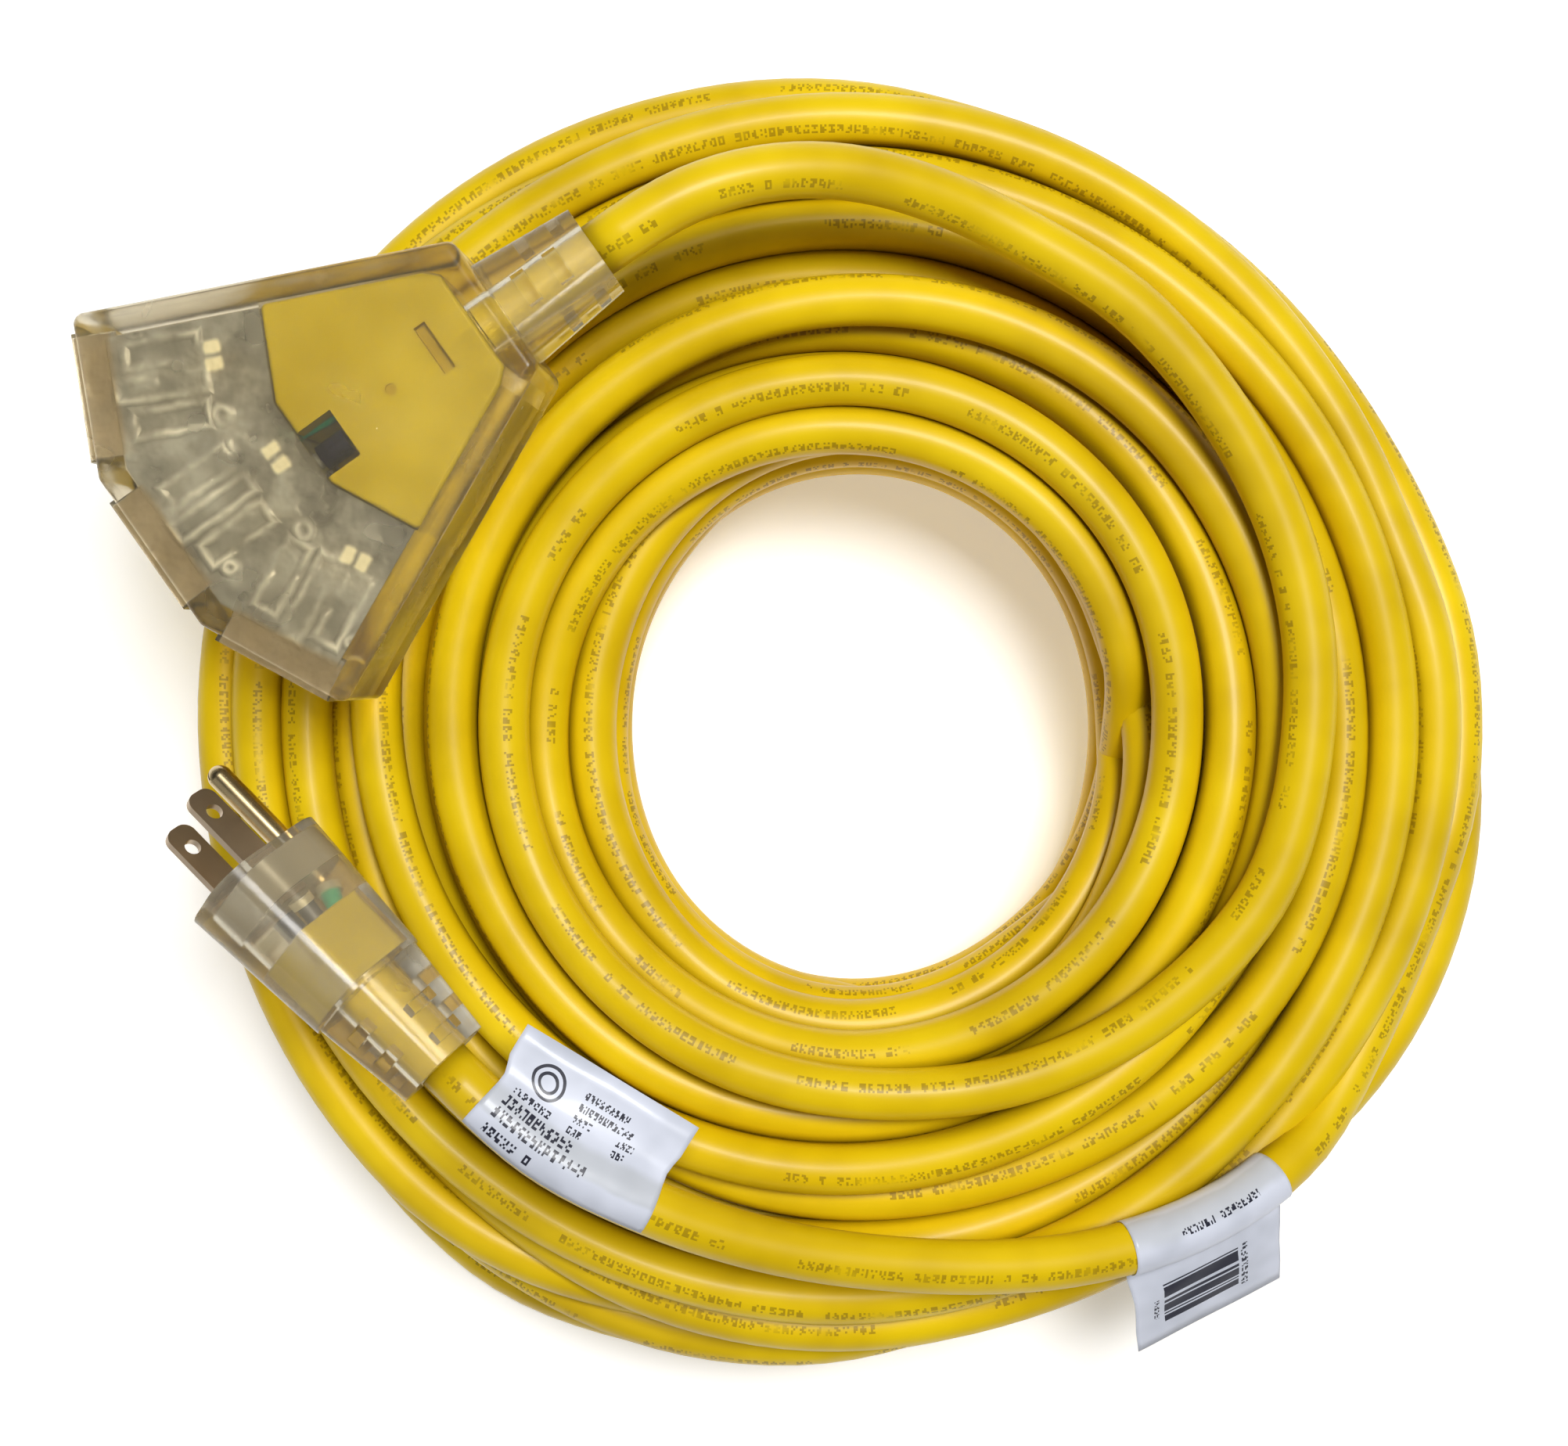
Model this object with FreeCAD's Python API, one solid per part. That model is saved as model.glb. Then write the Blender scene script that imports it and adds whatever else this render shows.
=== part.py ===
"""Coiled 12-gauge outdoor extension cord with a clear triple tap and a clear three-pin plug.

Units are millimetres. The origin is the middle of the coil, on the floor; +Z is up. The tap lies on
the coil's top at -X +Y and the plug at -X -Y, each with its own short lead into the coil.
Tap frame: x runs from the neck to the outlet faces, y across, z up through the 28 mm thickness.
Plug frame: x runs from the front face back to the cord, z towards the ground pin.
Outlet frame: x points out of the outlet's face, z towards the ground hole.
"""
import FreeCAD, Part
import math
import os

V = FreeCAD.Vector

# --- cord and coil -------------------------------------------------------------------------------
CORD_D = 10.7                 # jacket of a 3 x 3.31 mm2 (12 AWG) flexible cord
WIRE_D = 3.9                  # one insulated 12 AWG conductor
GAP = 0.15                    # gap between bonded mouldings and what they hold

COIL_TOP = 76.0               # crown of the wound coil
COIL_CROWN_R = 92.0
COIL_OUTER_R = 141.5
COIL_OUTER_Z = 30.0
COIL_OUTER_VIA = (128.6, 51.4)
COIL_INNER_R = 50.0
COIL_INNER_Z = 24.0
COIL_INNER_VIA = (65.0, 62.0)
COIL_HEEL_VIA = (52.8, 6.6)
COIL_FOOT_IN = 62.0           # the flat ring that rests on the floor runs between these radii
COIL_FOOT_OUT = 128.0
COIL_FOOT_VIA = (138.0, 10.5)

# --- triple tap ----------------------------------------------------------------------------------
TAP_AT = V(-65.4, 77.2, 94.0)     # middle of the neck
TAP_HEADING = 215.0               # direction of the outlets, degrees from +X
TAP_DROP = 3.0                    # the outlet end hangs this many degrees low
TAP_LENGTH = 79.0                 # neck to middle outlet face
TAP_THICK = 28.0
TAP_BACK_HALF = 14.0              # half width at the neck end
TAP_FRONT_HALF = 44.0             # half width at the outer corners of the outlet faces
TAP_CORNER_X = 65.5
TAP_FACE_HALF = 16.4              # half width of the middle outlet face
TAP_ROUND = 2.2

OUTLET_FAN = 26.5                 # degrees between neighbouring outlets
OUTLET_BOSS = 1.2                 # the face boss stands this far proud
BOSS_WIDE = 24.0
BOSS_HIGH = 23.0
SLOT_OFF = 6.35                   # line and neutral slots sit this far each side of the middle
SLOT_Z = -5.0
SLOT_THICK = 1.9
LINE_SLOT_HIGH = 7.2
NEUTRAL_SLOT_HIGH = 8.4
GROUND_UP = 11.9                  # ground hole above the slots
GROUND_HOLE_R = 2.7

INNER_WALL = 4.6                  # clear wall round the yellow inner mould
INNER_THICK = 24.0
INNER_FRONT_X = 44.0
INNER_FRONT_HALF = 9.0
INNER_BACK_X = 5.5
CARRIER_WALL = 5.2                # clear wall round the contact carrier
CARRIER_THICK = 22.0
CARRIER_SHELL = 1.5
CARRIER_SPLIT_Z = 1.0
NOSE_HALF = 11.3                  # the carrier's nose behind each outlet face
NOSE_TOP = 10.5

NOTCH_DEEP = 7.6                  # notch in the inner mould that holds the lamp
NOTCH_Y = (-2.0, 8.0)
NOTCH_FLOOR_Z = -6.5
KEY_SLOT = (12.8, 15.2, 5.0, 1.6)  # from x, to x, half length across, depth
GATE_MARK = (25.0, 1.5, 1.0, 0.3)  # x, y, radius, depth
LAMP_Y, LAMP_Z = 3.5, 7.4         # line of the pilot lamp and its resistor
LAMP_X = (37.4, 43.4)
RESISTOR_X = (43.6, 51.0)
LAMP_R = 2.5
RESISTOR_R = 1.6
LAMP_LEAD_R = 0.35
LAMP_LEADS = [((51.2, 3.4, 7.4), (56.6, 3.0, -0.9)), ((43.6, 6.2, 6.5), (56.3, 5.6, -8.5))]
WIRE_ENDS = {"black": (49.0, -17.5, -6.0), "white": (49.0, 17.5, -4.5), "green": (52.4, -4.6, 6.7)}
FAR = 100.0                       # longer than any cut needs to be

# --- contacts inside the tap -----------------------------------------------------------------------
SHEET = 0.8                       # brass sheet of the contacts
BLADE_GRIP = 0.7                  # gap between finger and leaf with no plug in
PIN_GRIP = 4.0
FINGER_X = (-22.0, -8.2)          # along the outlet, from the bus to behind the face wall
LEAF_X = (-19.5, -8.6)
BAND_X = -21.0
BAND_WIDE = 5.0
LINE_Z = (-9.4, -2.4)             # fingers' heights; the band is at the bottom or the top of them
NEUTRAL_Z = (-8.0, -1.0)
GROUND_Z = (3.2, 9.0)
LEAF_ROOT_R = 0.6                 # curled root that each leaf turns about
LEAF_SHORTER = 1.1                # a leaf is this much narrower than its finger at each edge
LIP_LONG = 2.0                    # turned-out lip at a leaf's tip
LIP_OUT = 0.9
CRIMP_R = 2.6
CRIMP_LONG = 5.0

# --- strain reliefs ----------------------------------------------------------------------------------
RELIEF_BIG = 20.0
RELIEF_SMALL = 16.6
RELIEF_ROUND = 5.0
RELIEF_LONG = 20.5
RELIEF_TAPER_ROUND = 0.6          # the corners' radius is this much smaller at the thin end
WINDOW_X = (-6.0, -13.0)          # flex windows in the upper and lower sides
WINDOW_LONG = 2.8
WINDOW_HALF = 3.2                 # half width across the sleeve
SIDE_WINDOW_BACK = 3.4            # the other two sides' windows are this much further back
SIDE_WINDOW_LONG = 2.4
WINDOW_FLOOR = 1.2                # wall left between a window and the cord

# --- plug --------------------------------------------------------------------------------------------
PLUG_AT = V(-114.6, -28.0, 89.3)  # middle of the front face
PLUG_HEADING = -45.0              # direction of its cord, degrees from +X
PLUG_RISE = 3.5                   # the cord end lies a little higher
PLUG_ROLL = 220.5                 # turn about its own length, from ground pin up
PLUG_LONG = 31.5
PLUG_FRONT = (22.4, 28.2, 8.5)    # width, height and corner radius of the body at its face
PLUG_BACK = (20.0, 24.0, 7.5)     # and at the strain relief
PLUG_ROOM = (18.6, 19.4, 6.0)     # the body's hollow round the crimps
PLUG_ROOM_Z = 2.5
BLADE_LONG = 17.0
BLADE_WIDE = 6.35
BLADE_THICK = 1.52
BLADE_HOLE_D = 3.2
BLADE_HOLE_AT = 11.9
BLADE_TIP_ROUND = 2.4
PIN_LONG = 21.4
PIN_R = 2.38
PIN_SHANK_R = 1.9
PIN_SLIT = (1.8, 0.2)             # depth from the tip, half width
PLUG_BLADE_Z = -2.5               # blades' height in the plug's own frame
BRIDGE = (1.6, 9.0)               # clear blade carrier, along x
BRIDGE_SECTION = (19.2, 20.4, 6.0)
PLUG_INNER = (16.4, 30.0)         # yellow inner mould, along x
PLUG_INNER_HALF = 7.7
PLUG_INNER_ROUND = 1.5
PLUG_GRIP = 3.8                   # the inner mould holds this much of the jacket's end
PLUG_CRIMP = (1.2, 0.5)           # each crimp reaches this far past its conductor's end, and back over it
CRIMP_CLEAR = 0.9                 # gap from the blades' and pin's tails to the crimps
PLUG_LAMP = ((11.6, 15.9), -2.2, -5.2, 1.9)    # x range, y, z and radius
TAIL_IN = 1.0                     # blades and pin reach this far behind the bridge
SEAT_GAP = 0.05                   # clearance of blades and pin in their carrier

# --- labels ------------------------------------------------------------------------------------------
RATING_LABEL = (38.0, 19.0, 4.0)      # length along the cord, reach from its middle, slope in degrees
BARCODE_LABEL = (36.0, 28.0, 220.0)
RATING_LABEL_AT = 29.0                # distance of each label's middle along the plug's lead
BARCODE_LABEL_AT = 165.0
LABEL_SKIN = 0.4

# --- leads: points from each strain relief to where the cord joins the coil --------------------------
TAP_LEAD = [
    (-37.59, 96.67, 95.77), (-24.8, 102.3, 94.8), (-11.3, 105.2, 92.4),
    (2.2, 105.2, 89.0), (15.4, 102.5, 85.1), (28.1, 98.1, 81.3), (40.1, 92.3, 77.0),
    (51.1, 85.1, 72.2), (61.1, 76.8, 67.0),
]
PLUG_LEAD = [
    (-68.9, -73.7, 93.2), (-57.3, -82.9, 93.6), (-42.2, -90.8, 91.8),
    (-27.2, -97.5, 88.2), (-9.6, -102.9, 84.2), (9.6, -106.2, 79.9), (29.2, -107.8, 76.0),
    (48.9, -107.0, 71.8), (69.0, -102.3, 66.6), (87.6, -93.6, 59.6), (102.6, -80.6, 50.8),
    (113.2, -65.0, 41.5),
]


def box(x, y, z):
    """Box between three (low, high) pairs."""
    return Part.makeBox(x[1] - x[0], y[1] - y[0], z[1] - z[0], V(x[0], y[0], z[0]))


def rod(a, b, radius):
    """Round bar from point a to point b."""
    a, b = V(*a), V(*b)
    return Part.makeCylinder(radius, (b - a).Length, a, b - a)


def plate(points, low, high):
    """Flat plate with a polygon outline in x and y, between two heights."""
    corners = [V(x, y, low) for x, y in points]
    wire = Part.makePolygon(corners + corners[:1])
    return Part.Face(wire).extrude(V(0, 0, high - low))


def rounded_section(x, wide, high, radius, z_middle=0.0):
    """Closed rounded rectangle across the x axis."""
    y, z = wide / 2, high / 2
    k = radius * (1 - math.sqrt(0.5))
    edges = []
    for sy, sz in ((1, 1), (-1, 1), (-1, -1), (1, -1)):
        first = V(x, sy * y, sz * (z - radius))
        last = V(x, sy * (y - radius), sz * z)
        if sy * sz < 0:
            first, last = last, first
        edges.append(Part.Arc(first, V(x, sy * (y - k), sz * (z - k)), last).toShape())
    ends = [(e.Vertexes[0].Point, e.Vertexes[-1].Point) for e in edges]
    sides = [Part.LineSegment(ends[i][1], ends[(i + 1) % 4][0]).toShape() for i in range(4)]
    section = Part.Wire([piece for pair in zip(edges, sides) for piece in pair])
    section.translate(V(0, 0, z_middle))
    return section


def rounded_bar(x_range, size, z_middle=0.0, grow=0.0):
    """Bar with a rounded rectangular section, along x; grow widens the section all round."""
    wide, high, radius = size
    ends = [rounded_section(x, wide + 2 * grow, high + 2 * grow, radius + grow, z_middle) for x in x_range]
    return Part.makeLoft(ends, True, True)


def offset_line(p, q, inward):
    """Line through p and q moved to the left of its direction, as a point and a unit direction."""
    dx, dy = q[0] - p[0], q[1] - p[1]
    size = math.hypot(dx, dy)
    dx, dy = dx / size, dy / size
    return (p[0] - dy * inward, p[1] + dx * inward), (dx, dy)


def crossing(line_a, line_b):
    """Point where two lines meet."""
    (ax, ay), (ux, uy) = line_a
    (bx, by), (vx, vy) = line_b
    t = ((bx - ax) * vy - (by - ay) * vx) / (ux * vy - uy * vx)
    return (ax + t * ux, ay + t * uy)


def inset(points, amount):
    """Anticlockwise convex outline moved inwards by one amount all round."""
    count = len(points)
    lines = [offset_line(points[i], points[(i + 1) % count], amount) for i in range(count)]
    return [crossing(lines[i - 1], lines[i]) for i in range(count)]


def placement(at, heading, tilt=0.0, roll=0.0):
    """Frame at a point: x along the heading, tilted up by tilt, then rolled about its own x."""
    turn = FreeCAD.Rotation(V(0, 0, 1), heading)
    lean = FreeCAD.Rotation(V(0, 1, 0), -tilt)
    spin = FreeCAD.Rotation(V(1, 0, 0), roll)
    return FreeCAD.Placement(at, turn.multiply(lean).multiply(spin))


def put(shape, frame):
    """Copy of a shape moved from a local frame into the part's frame."""
    moved = shape.copy()
    moved.Placement = frame.multiply(moved.Placement)
    return moved


def strain_relief():
    """Tapered sleeve from x = 0 to -RELIEF_LONG, with flex windows in four sides and a cord bore."""
    sections = [
        rounded_section(0, RELIEF_BIG, RELIEF_BIG, RELIEF_ROUND),
        rounded_section(-RELIEF_LONG, RELIEF_SMALL, RELIEF_SMALL, RELIEF_ROUND - RELIEF_TAPER_ROUND),
    ]
    sleeve = Part.makeLoft(sections, True, True)
    floor = CORD_D / 2 + WINDOW_FLOOR
    across = (-WINDOW_HALF, WINDOW_HALF)
    for x in WINDOW_X:
        for side in (-1, 1):
            deep = sorted((side * floor, side * RELIEF_BIG))
            long = (x - WINDOW_LONG / 2, x + WINDOW_LONG / 2)
            sleeve = sleeve.cut(box(long, across, deep))
            x_side = x - SIDE_WINDOW_BACK
            long = (x_side - SIDE_WINDOW_LONG / 2, x_side + SIDE_WINDOW_LONG / 2)
            sleeve = sleeve.cut(box(long, deep, across))
    return sleeve.cut(rod((1, 0, 0), (-RELIEF_LONG - 1, 0, 0), CORD_D / 2 + GAP))


# --- coil and leads ------------------------------------------------------------------------------------

def cord_coil():
    """Outer shape of the loosely wound coil: a low dome of turns round an open middle."""
    def at(r, z):
        return V(r, 0, z)
    crown = at(COIL_CROWN_R, COIL_TOP)
    outer = at(COIL_OUTER_R, COIL_OUTER_Z)
    inner = at(COIL_INNER_R, COIL_INNER_Z)
    foot_out, foot_in = at(COIL_FOOT_OUT, 0), at(COIL_FOOT_IN, 0)
    edges = [
        Part.LineSegment(foot_in, foot_out),
        Part.Arc(foot_out, at(*COIL_FOOT_VIA), outer),
        Part.Arc(outer, at(*COIL_OUTER_VIA), crown),
        Part.Arc(crown, at(*COIL_INNER_VIA), inner),
        Part.Arc(inner, at(*COIL_HEEL_VIA), foot_in),
    ]
    face = Part.Face(Part.Wire([e.toShape() for e in edges]))
    return face.revolve(V(0, 0, 0), V(0, 0, 1), 360)


def lead(name, points):
    """Round cord along straight runs joined by tangent arcs, each as large as its runs allow."""
    points = [V(*p) for p in points]
    corners = range(1, len(points) - 1)
    edges, start, radii = [], points[0], []
    for i in corners:
        before, here, after = points[i - 1], points[i], points[i + 1]
        back = (before - here).normalize()
        ahead = (after - here).normalize()
        reach = 0.45 * min((before - here).Length, (after - here).Length)
        half_turn = (math.pi - back.getAngle(ahead)) / 2
        radius = reach / math.tan(half_turn)
        radii.append(radius)
        first, last = here + back * reach, here + ahead * reach
        middle = (back + ahead).normalize()
        centre = here + middle * (radius / math.cos(half_turn))
        edges.append(Part.LineSegment(start, first).toShape())
        edges.append(Part.Arc(first, centre - middle * radius, last).toShape())
        start = last
    edges.append(Part.LineSegment(start, points[-1]).toShape())
    path = Part.Wire(edges)
    circle = Part.makeCircle(CORD_D / 2, points[0], points[1] - points[0])
    tube = path.makePipeShell([Part.Wire([circle])], True, False)
    expected = math.pi * CORD_D ** 2 / 4 * path.Length
    print(name, "length", round(path.Length, 1), "radii", [round(r) for r in radii],
          "volume ratio", round(tube.Volume / expected, 4))
    return tube, path


def stretch(path, middle, long):
    """Arc through three points of a lead's path, for a label of the given length."""
    step = 0.5
    points = path.discretize(Distance=step)
    first, last = round((middle - long / 2) / step), round((middle + long / 2) / step)
    return Part.Arc(points[first], points[(first + last) // 2], points[last])


def flag_label(path, middle, size):
    """Adhesive label wrapped round a lead, its two ends stuck together as a flag."""
    long, reach, angle = size
    arc = stretch(path, middle, long)
    start = arc.value(arc.FirstParameter)
    along = arc.tangent(arc.FirstParameter)[0]
    radius = CORD_D / 2
    left = V(0, 0, 1).cross(along).normalize()
    out = FreeCAD.Rotation(along, angle).multVec(left)
    thin = along.cross(out).normalize() * (LABEL_SKIN / 2)
    foot, tip = start + out * (radius - 0.3), start + out * reach
    flag = Part.makePolygon([foot - thin, tip - thin, tip + thin, foot + thin, foot - thin])
    spine = Part.Wire([arc.toShape()])

    def swept(section):
        return spine.makePipeShell([section], True, False)

    skin = swept(Part.Wire([Part.makeCircle(radius + LABEL_SKIN, start, along)]))
    core = swept(Part.Wire([Part.makeCircle(radius, start, along)]))
    return skin.fuse(swept(flag)).cut(core)


# --- triple tap ------------------------------------------------------------------------------------------

def tap_outline():
    """Fan outline of the tap, anticlockwise."""
    half = [(TAP_LENGTH, TAP_FACE_HALF), (TAP_CORNER_X, TAP_FRONT_HALF), (0, TAP_BACK_HALF)]
    return half + [(x, -y) for x, y in reversed(half)]


def outlet_frames():
    """Frame of each outlet in the tap: the side ones at the middle of the slanted faces."""
    side_x = (TAP_LENGTH + TAP_CORNER_X) / 2
    side_y = (TAP_FACE_HALF + TAP_FRONT_HALF) / 2
    places = [(side_x, side_y, OUTLET_FAN), (TAP_LENGTH, 0, 0), (side_x, -side_y, -OUTLET_FAN)]
    return [placement(V(x, y, 0), turn) for x, y, turn in places]


def inner_outline(grow=0.0):
    """Outline of the yellow inner mould: the tap's own outline set back from the outlets."""
    side = inset(tap_outline(), INNER_WALL - grow)
    x, y = INNER_FRONT_X + grow, INNER_FRONT_HALF
    face_turn = math.radians(90 + OUTLET_FAN)
    slant = ((x, y), (math.cos(face_turn), math.sin(face_turn)))
    wall, _ = side[1], side[2]
    wall_line = (wall, (side[2][0] - wall[0], side[2][1] - wall[1]))
    corner = crossing(slant, wall_line)
    back_x = INNER_BACK_X - grow
    shoulder = crossing(((back_x + 2.5, 0), (0, 1)), wall_line)
    half = [(x, y), corner, shoulder, (back_x, shoulder[1] - 2.5)]
    return half + [(px, -py) for px, py in reversed(half)]


def wire_paths():
    """Where each conductor runs in the tap, from the jacket's end to its crimp."""
    lay = WIRE_D / math.sqrt(3)
    start_x = INNER_BACK_X + 0.5
    return {
        "black": ((start_x, -lay * 0.87, -lay / 2), WIRE_ENDS["black"]),
        "white": ((start_x, lay * 0.87, -lay / 2), WIRE_ENDS["white"]),
        "green": ((start_x, 0, lay), WIRE_ENDS["green"]),
    }


def tap_inner_mould():
    """Yellow inner mould: conductor channels, a lamp notch, a key slot and a gate mark."""
    mould = plate(inner_outline(), -INNER_THICK / 2, INNER_THICK / 2)
    upright = [e for e in mould.Edges if abs(e.tangentAt(e.FirstParameter).z) > 0.9]
    mould = mould.makeFillet(1.2, upright)
    rims = [e for e in mould.Edges if abs(e.BoundBox.ZMin - e.BoundBox.ZMax) < 1e-6]
    mould = mould.makeFillet(0.9, rims)
    mould = mould.cut(box((INNER_FRONT_X - NOTCH_DEEP, INNER_FRONT_X + 2), NOTCH_Y, (NOTCH_FLOOR_Z, FAR)))
    x_from, x_to, half, deep = KEY_SLOT
    mould = mould.cut(box((x_from, x_to), (-half, half), (INNER_THICK / 2 - deep, FAR)))
    x, y, radius, deep = GATE_MARK
    mould = mould.cut(rod((x, y, INNER_THICK / 2 - deep), (x, y, FAR), radius))
    for start, end in wire_paths().values():
        back = V(*start) - (V(*end) - V(*start)).normalize() * 3
        mould = mould.cut(rod(tuple(back), end, WIRE_D / 2 + GAP))
    return mould


def carrier_block():
    """Solid envelope of the contact carrier: behind the outlet faces, in front of the inner mould."""
    block = plate(inset(tap_outline(), CARRIER_WALL), -CARRIER_THICK / 2, CARRIER_THICK / 2)
    behind = plate(inner_outline(2 * GAP), -TAP_THICK, TAP_THICK)
    block = block.cut(behind)
    block = block.cut(box((-FAR, INNER_FRONT_X - NOTCH_DEEP - 3), (-FAR, FAR), (-FAR, FAR)))
    for frame in outlet_frames():
        nose = box((-CARRIER_WALL - 1.5, OUTLET_BOSS), (-NOSE_HALF, NOSE_HALF), (-NOSE_TOP, NOSE_TOP))
        block = block.fuse(put(nose, frame))
    return block.removeSplitter()


def carrier_hollow():
    """Chamber inside the carrier, with the blade slots, ground holes and conductor holes."""
    outline = inset(tap_outline(), CARRIER_WALL + CARRIER_SHELL)
    height = CARRIER_THICK / 2 - CARRIER_SHELL + 0.2
    hollow = plate(outline, -height, height)
    hollow = hollow.cut(plate(inner_outline(2 * GAP + CARRIER_SHELL), -TAP_THICK, TAP_THICK))
    through = (-CARRIER_WALL - CARRIER_SHELL - 1, OUTLET_BOSS + 1)
    for frame in outlet_frames():
        for y, high in ((-SLOT_OFF, LINE_SLOT_HIGH), (SLOT_OFF, NEUTRAL_SLOT_HIGH)):
            across = (y - SLOT_THICK / 2, y + SLOT_THICK / 2)
            slot = box(through, across, (SLOT_Z - high / 2, SLOT_Z + high / 2))
            hollow = hollow.fuse(put(slot, frame))
        z = SLOT_Z + GROUND_UP
        hollow = hollow.fuse(put(rod((through[0], 0, z), (through[1], 0, z), GROUND_HOLE_R), frame))
    for start, end in wire_paths().values():
        hollow = hollow.fuse(rod(start, end, WIRE_D / 2 + GAP))
    for start, end in LAMP_LEADS:
        hollow = hollow.fuse(rod(start, end, LAMP_LEAD_R + 2 * GAP))
    x_from, x_to = LAMP_X[0] + 3, RESISTOR_X[1] - 1
    return hollow.fuse(rod((x_from, LAMP_Y, LAMP_Z), (x_to, LAMP_Y, LAMP_Z), RESISTOR_R + GAP))


def tap_carriers():
    """Lower and upper halves of the contact carrier."""
    shell = carrier_block().cut(carrier_hollow())
    low = box((-FAR, FAR), (-FAR, FAR), (-FAR, CARRIER_SPLIT_Z))
    high = box((-FAR, FAR), (-FAR, FAR), (CARRIER_SPLIT_Z, FAR))
    return {"carrier_base": shell.common(low), "carrier_cover": shell.common(high)}


def tap_outer_mould():
    """Clear outer moulding round the carrier and the inner mould, with a boss at each outlet."""
    body = plate(tap_outline(), -TAP_THICK / 2, TAP_THICK / 2)
    upright = [e for e in body.Edges if abs(e.tangentAt(e.FirstParameter).z) > 0.9]
    body = body.makeFillet(TAP_ROUND, upright)
    rims = [e for e in body.Edges if abs(e.BoundBox.ZMin - e.BoundBox.ZMax) < 1e-6]
    body = body.makeFillet(TAP_ROUND - 0.2, rims)
    for frame in outlet_frames():
        boss = box((-3, OUTLET_BOSS), (-BOSS_WIDE / 2, BOSS_WIDE / 2), (-BOSS_HIGH / 2, BOSS_HIGH / 2))
        body = body.fuse(put(boss, frame))
        window = box((-CARRIER_WALL - 2, OUTLET_BOSS + 1), (-NOSE_HALF - GAP, NOSE_HALF + GAP),
                     (-NOSE_TOP - GAP, NOSE_TOP + GAP))
        body = body.cut(put(window, frame))
    room = INNER_THICK / 2 + GAP
    body = body.cut(plate(inner_outline(GAP), -room, room))
    room = CARRIER_THICK / 2 + GAP
    front = plate(inset(tap_outline(), CARRIER_WALL - GAP), -room, room)
    front = front.cut(box((-FAR, INNER_FRONT_X - NOTCH_DEEP - 3.2), (-FAR, FAR), (-FAR, FAR)))
    body = body.cut(front)
    return body.cut(rod((-2, 0, 0), (INNER_BACK_X + 2, 0, 0), CORD_D / 2 + GAP))


def strip(p, q, wide, z):
    """Flat bar of sheet metal between two points in x and y, its underside at z."""
    heading = math.degrees(math.atan2(q[1] - p[1], q[0] - p[0]))
    long = math.hypot(q[0] - p[0], q[1] - p[1])
    bar = box((-wide / 2, long + wide / 2), (-wide / 2, wide / 2), (z, z + SHEET))
    return put(bar, placement(V(p[0], p[1], 0), heading))


def finger_side(pole):
    """Side of the blade that a pole's fixed finger is on, the gap to its leaf, and the blade's middle."""
    return {"line": (-1, BLADE_GRIP, -SLOT_OFF), "neutral": (1, BLADE_GRIP, SLOT_OFF),
            "ground": (-1, PIN_GRIP, 0.0)}[pole]


def finger_y(pole):
    """The (low, high) sides of the fixed finger and of the sprung leaf, across the outlet."""
    side, grip, middle = finger_side(pole)
    near = grip / 2
    fixed = sorted((middle + side * near, middle + side * (near + SHEET)))
    leaf = sorted((middle - side * near, middle - side * (near + SHEET)))
    return fixed, leaf


def bus(pole, heights, band_z, crimp):
    """Brass strip that joins one pole of the three outlets, with a fixed finger in each and a crimp tail."""
    frames = outlet_frames()
    rear = [f.multVec(V(BAND_X, 0, 0)) for f in frames]
    points = [(p.x, p.y) for p in rear]
    shape = strip(points[0], points[1], BAND_WIDE, band_z)
    shape = shape.fuse(strip(points[1], points[2], BAND_WIDE, band_z))
    nearest = min(points, key=lambda p: math.hypot(p[0] - crimp[0], p[1] - crimp[1]))
    shape = shape.fuse(strip(nearest, crimp, CRIMP_R, band_z))
    fixed, _ = finger_y(pole)
    arm_x = (BAND_X - BAND_WIDE / 2, BAND_X + BAND_WIDE / 2)
    arm_y = sorted((0, max(fixed, key=abs)))
    for frame in frames:
        arm = box(arm_x, arm_y, (band_z, band_z + SHEET))
        shape = shape.fuse(put(arm, frame)).fuse(put(box(FINGER_X, fixed, heights), frame))
    return shape.removeSplitter()


def leaf(pole, heights, frame):
    """Sprung leaf that presses a blade or pin against its pole's fixed finger, with a turned-out lip."""
    _, across = finger_y(pole)
    side, _, _ = finger_side(pole)
    z = (heights[0] + LEAF_SHORTER, heights[1] - LEAF_SHORTER)
    blade = box(LEAF_X, across, z)
    tip = LEAF_X[1]
    outward = across[0] if side > 0 else across[1]
    corners = [(tip - LIP_LONG, outward), (tip, outward - side * LIP_OUT), (tip, outward)]
    lip = plate(corners[::side], z[0], z[1])
    root_y = (across[0] + across[1]) / 2
    root = rod((LEAF_X[0], root_y, z[0]), (LEAF_X[0], root_y, z[1]), LEAF_ROOT_R)
    return put(blade.fuse(lip).fuse(root).removeSplitter(), frame)


def tap_metal():
    """The three bus strips and the nine sprung leaves."""
    ends = {pole: (end[0] + 0.3, end[1]) for pole, (_, end) in
            zip(("line", "neutral", "ground"), wire_paths().values())}
    parts = {
        "line_bus": bus("line", LINE_Z, LINE_Z[0], ends["line"]),
        "neutral_bus": bus("neutral", NEUTRAL_Z, NEUTRAL_Z[1] - SHEET, ends["neutral"]),
        "ground_bus": bus("ground", GROUND_Z, GROUND_Z[0], ends["ground"]),
    }
    for pole, heights in (("line", LINE_Z), ("neutral", NEUTRAL_Z), ("ground", GROUND_Z)):
        for number, frame in enumerate(outlet_frames(), 1):
            parts[f"{pole}_leaf_{number}"] = leaf(pole, heights, frame)
    return parts


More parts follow.
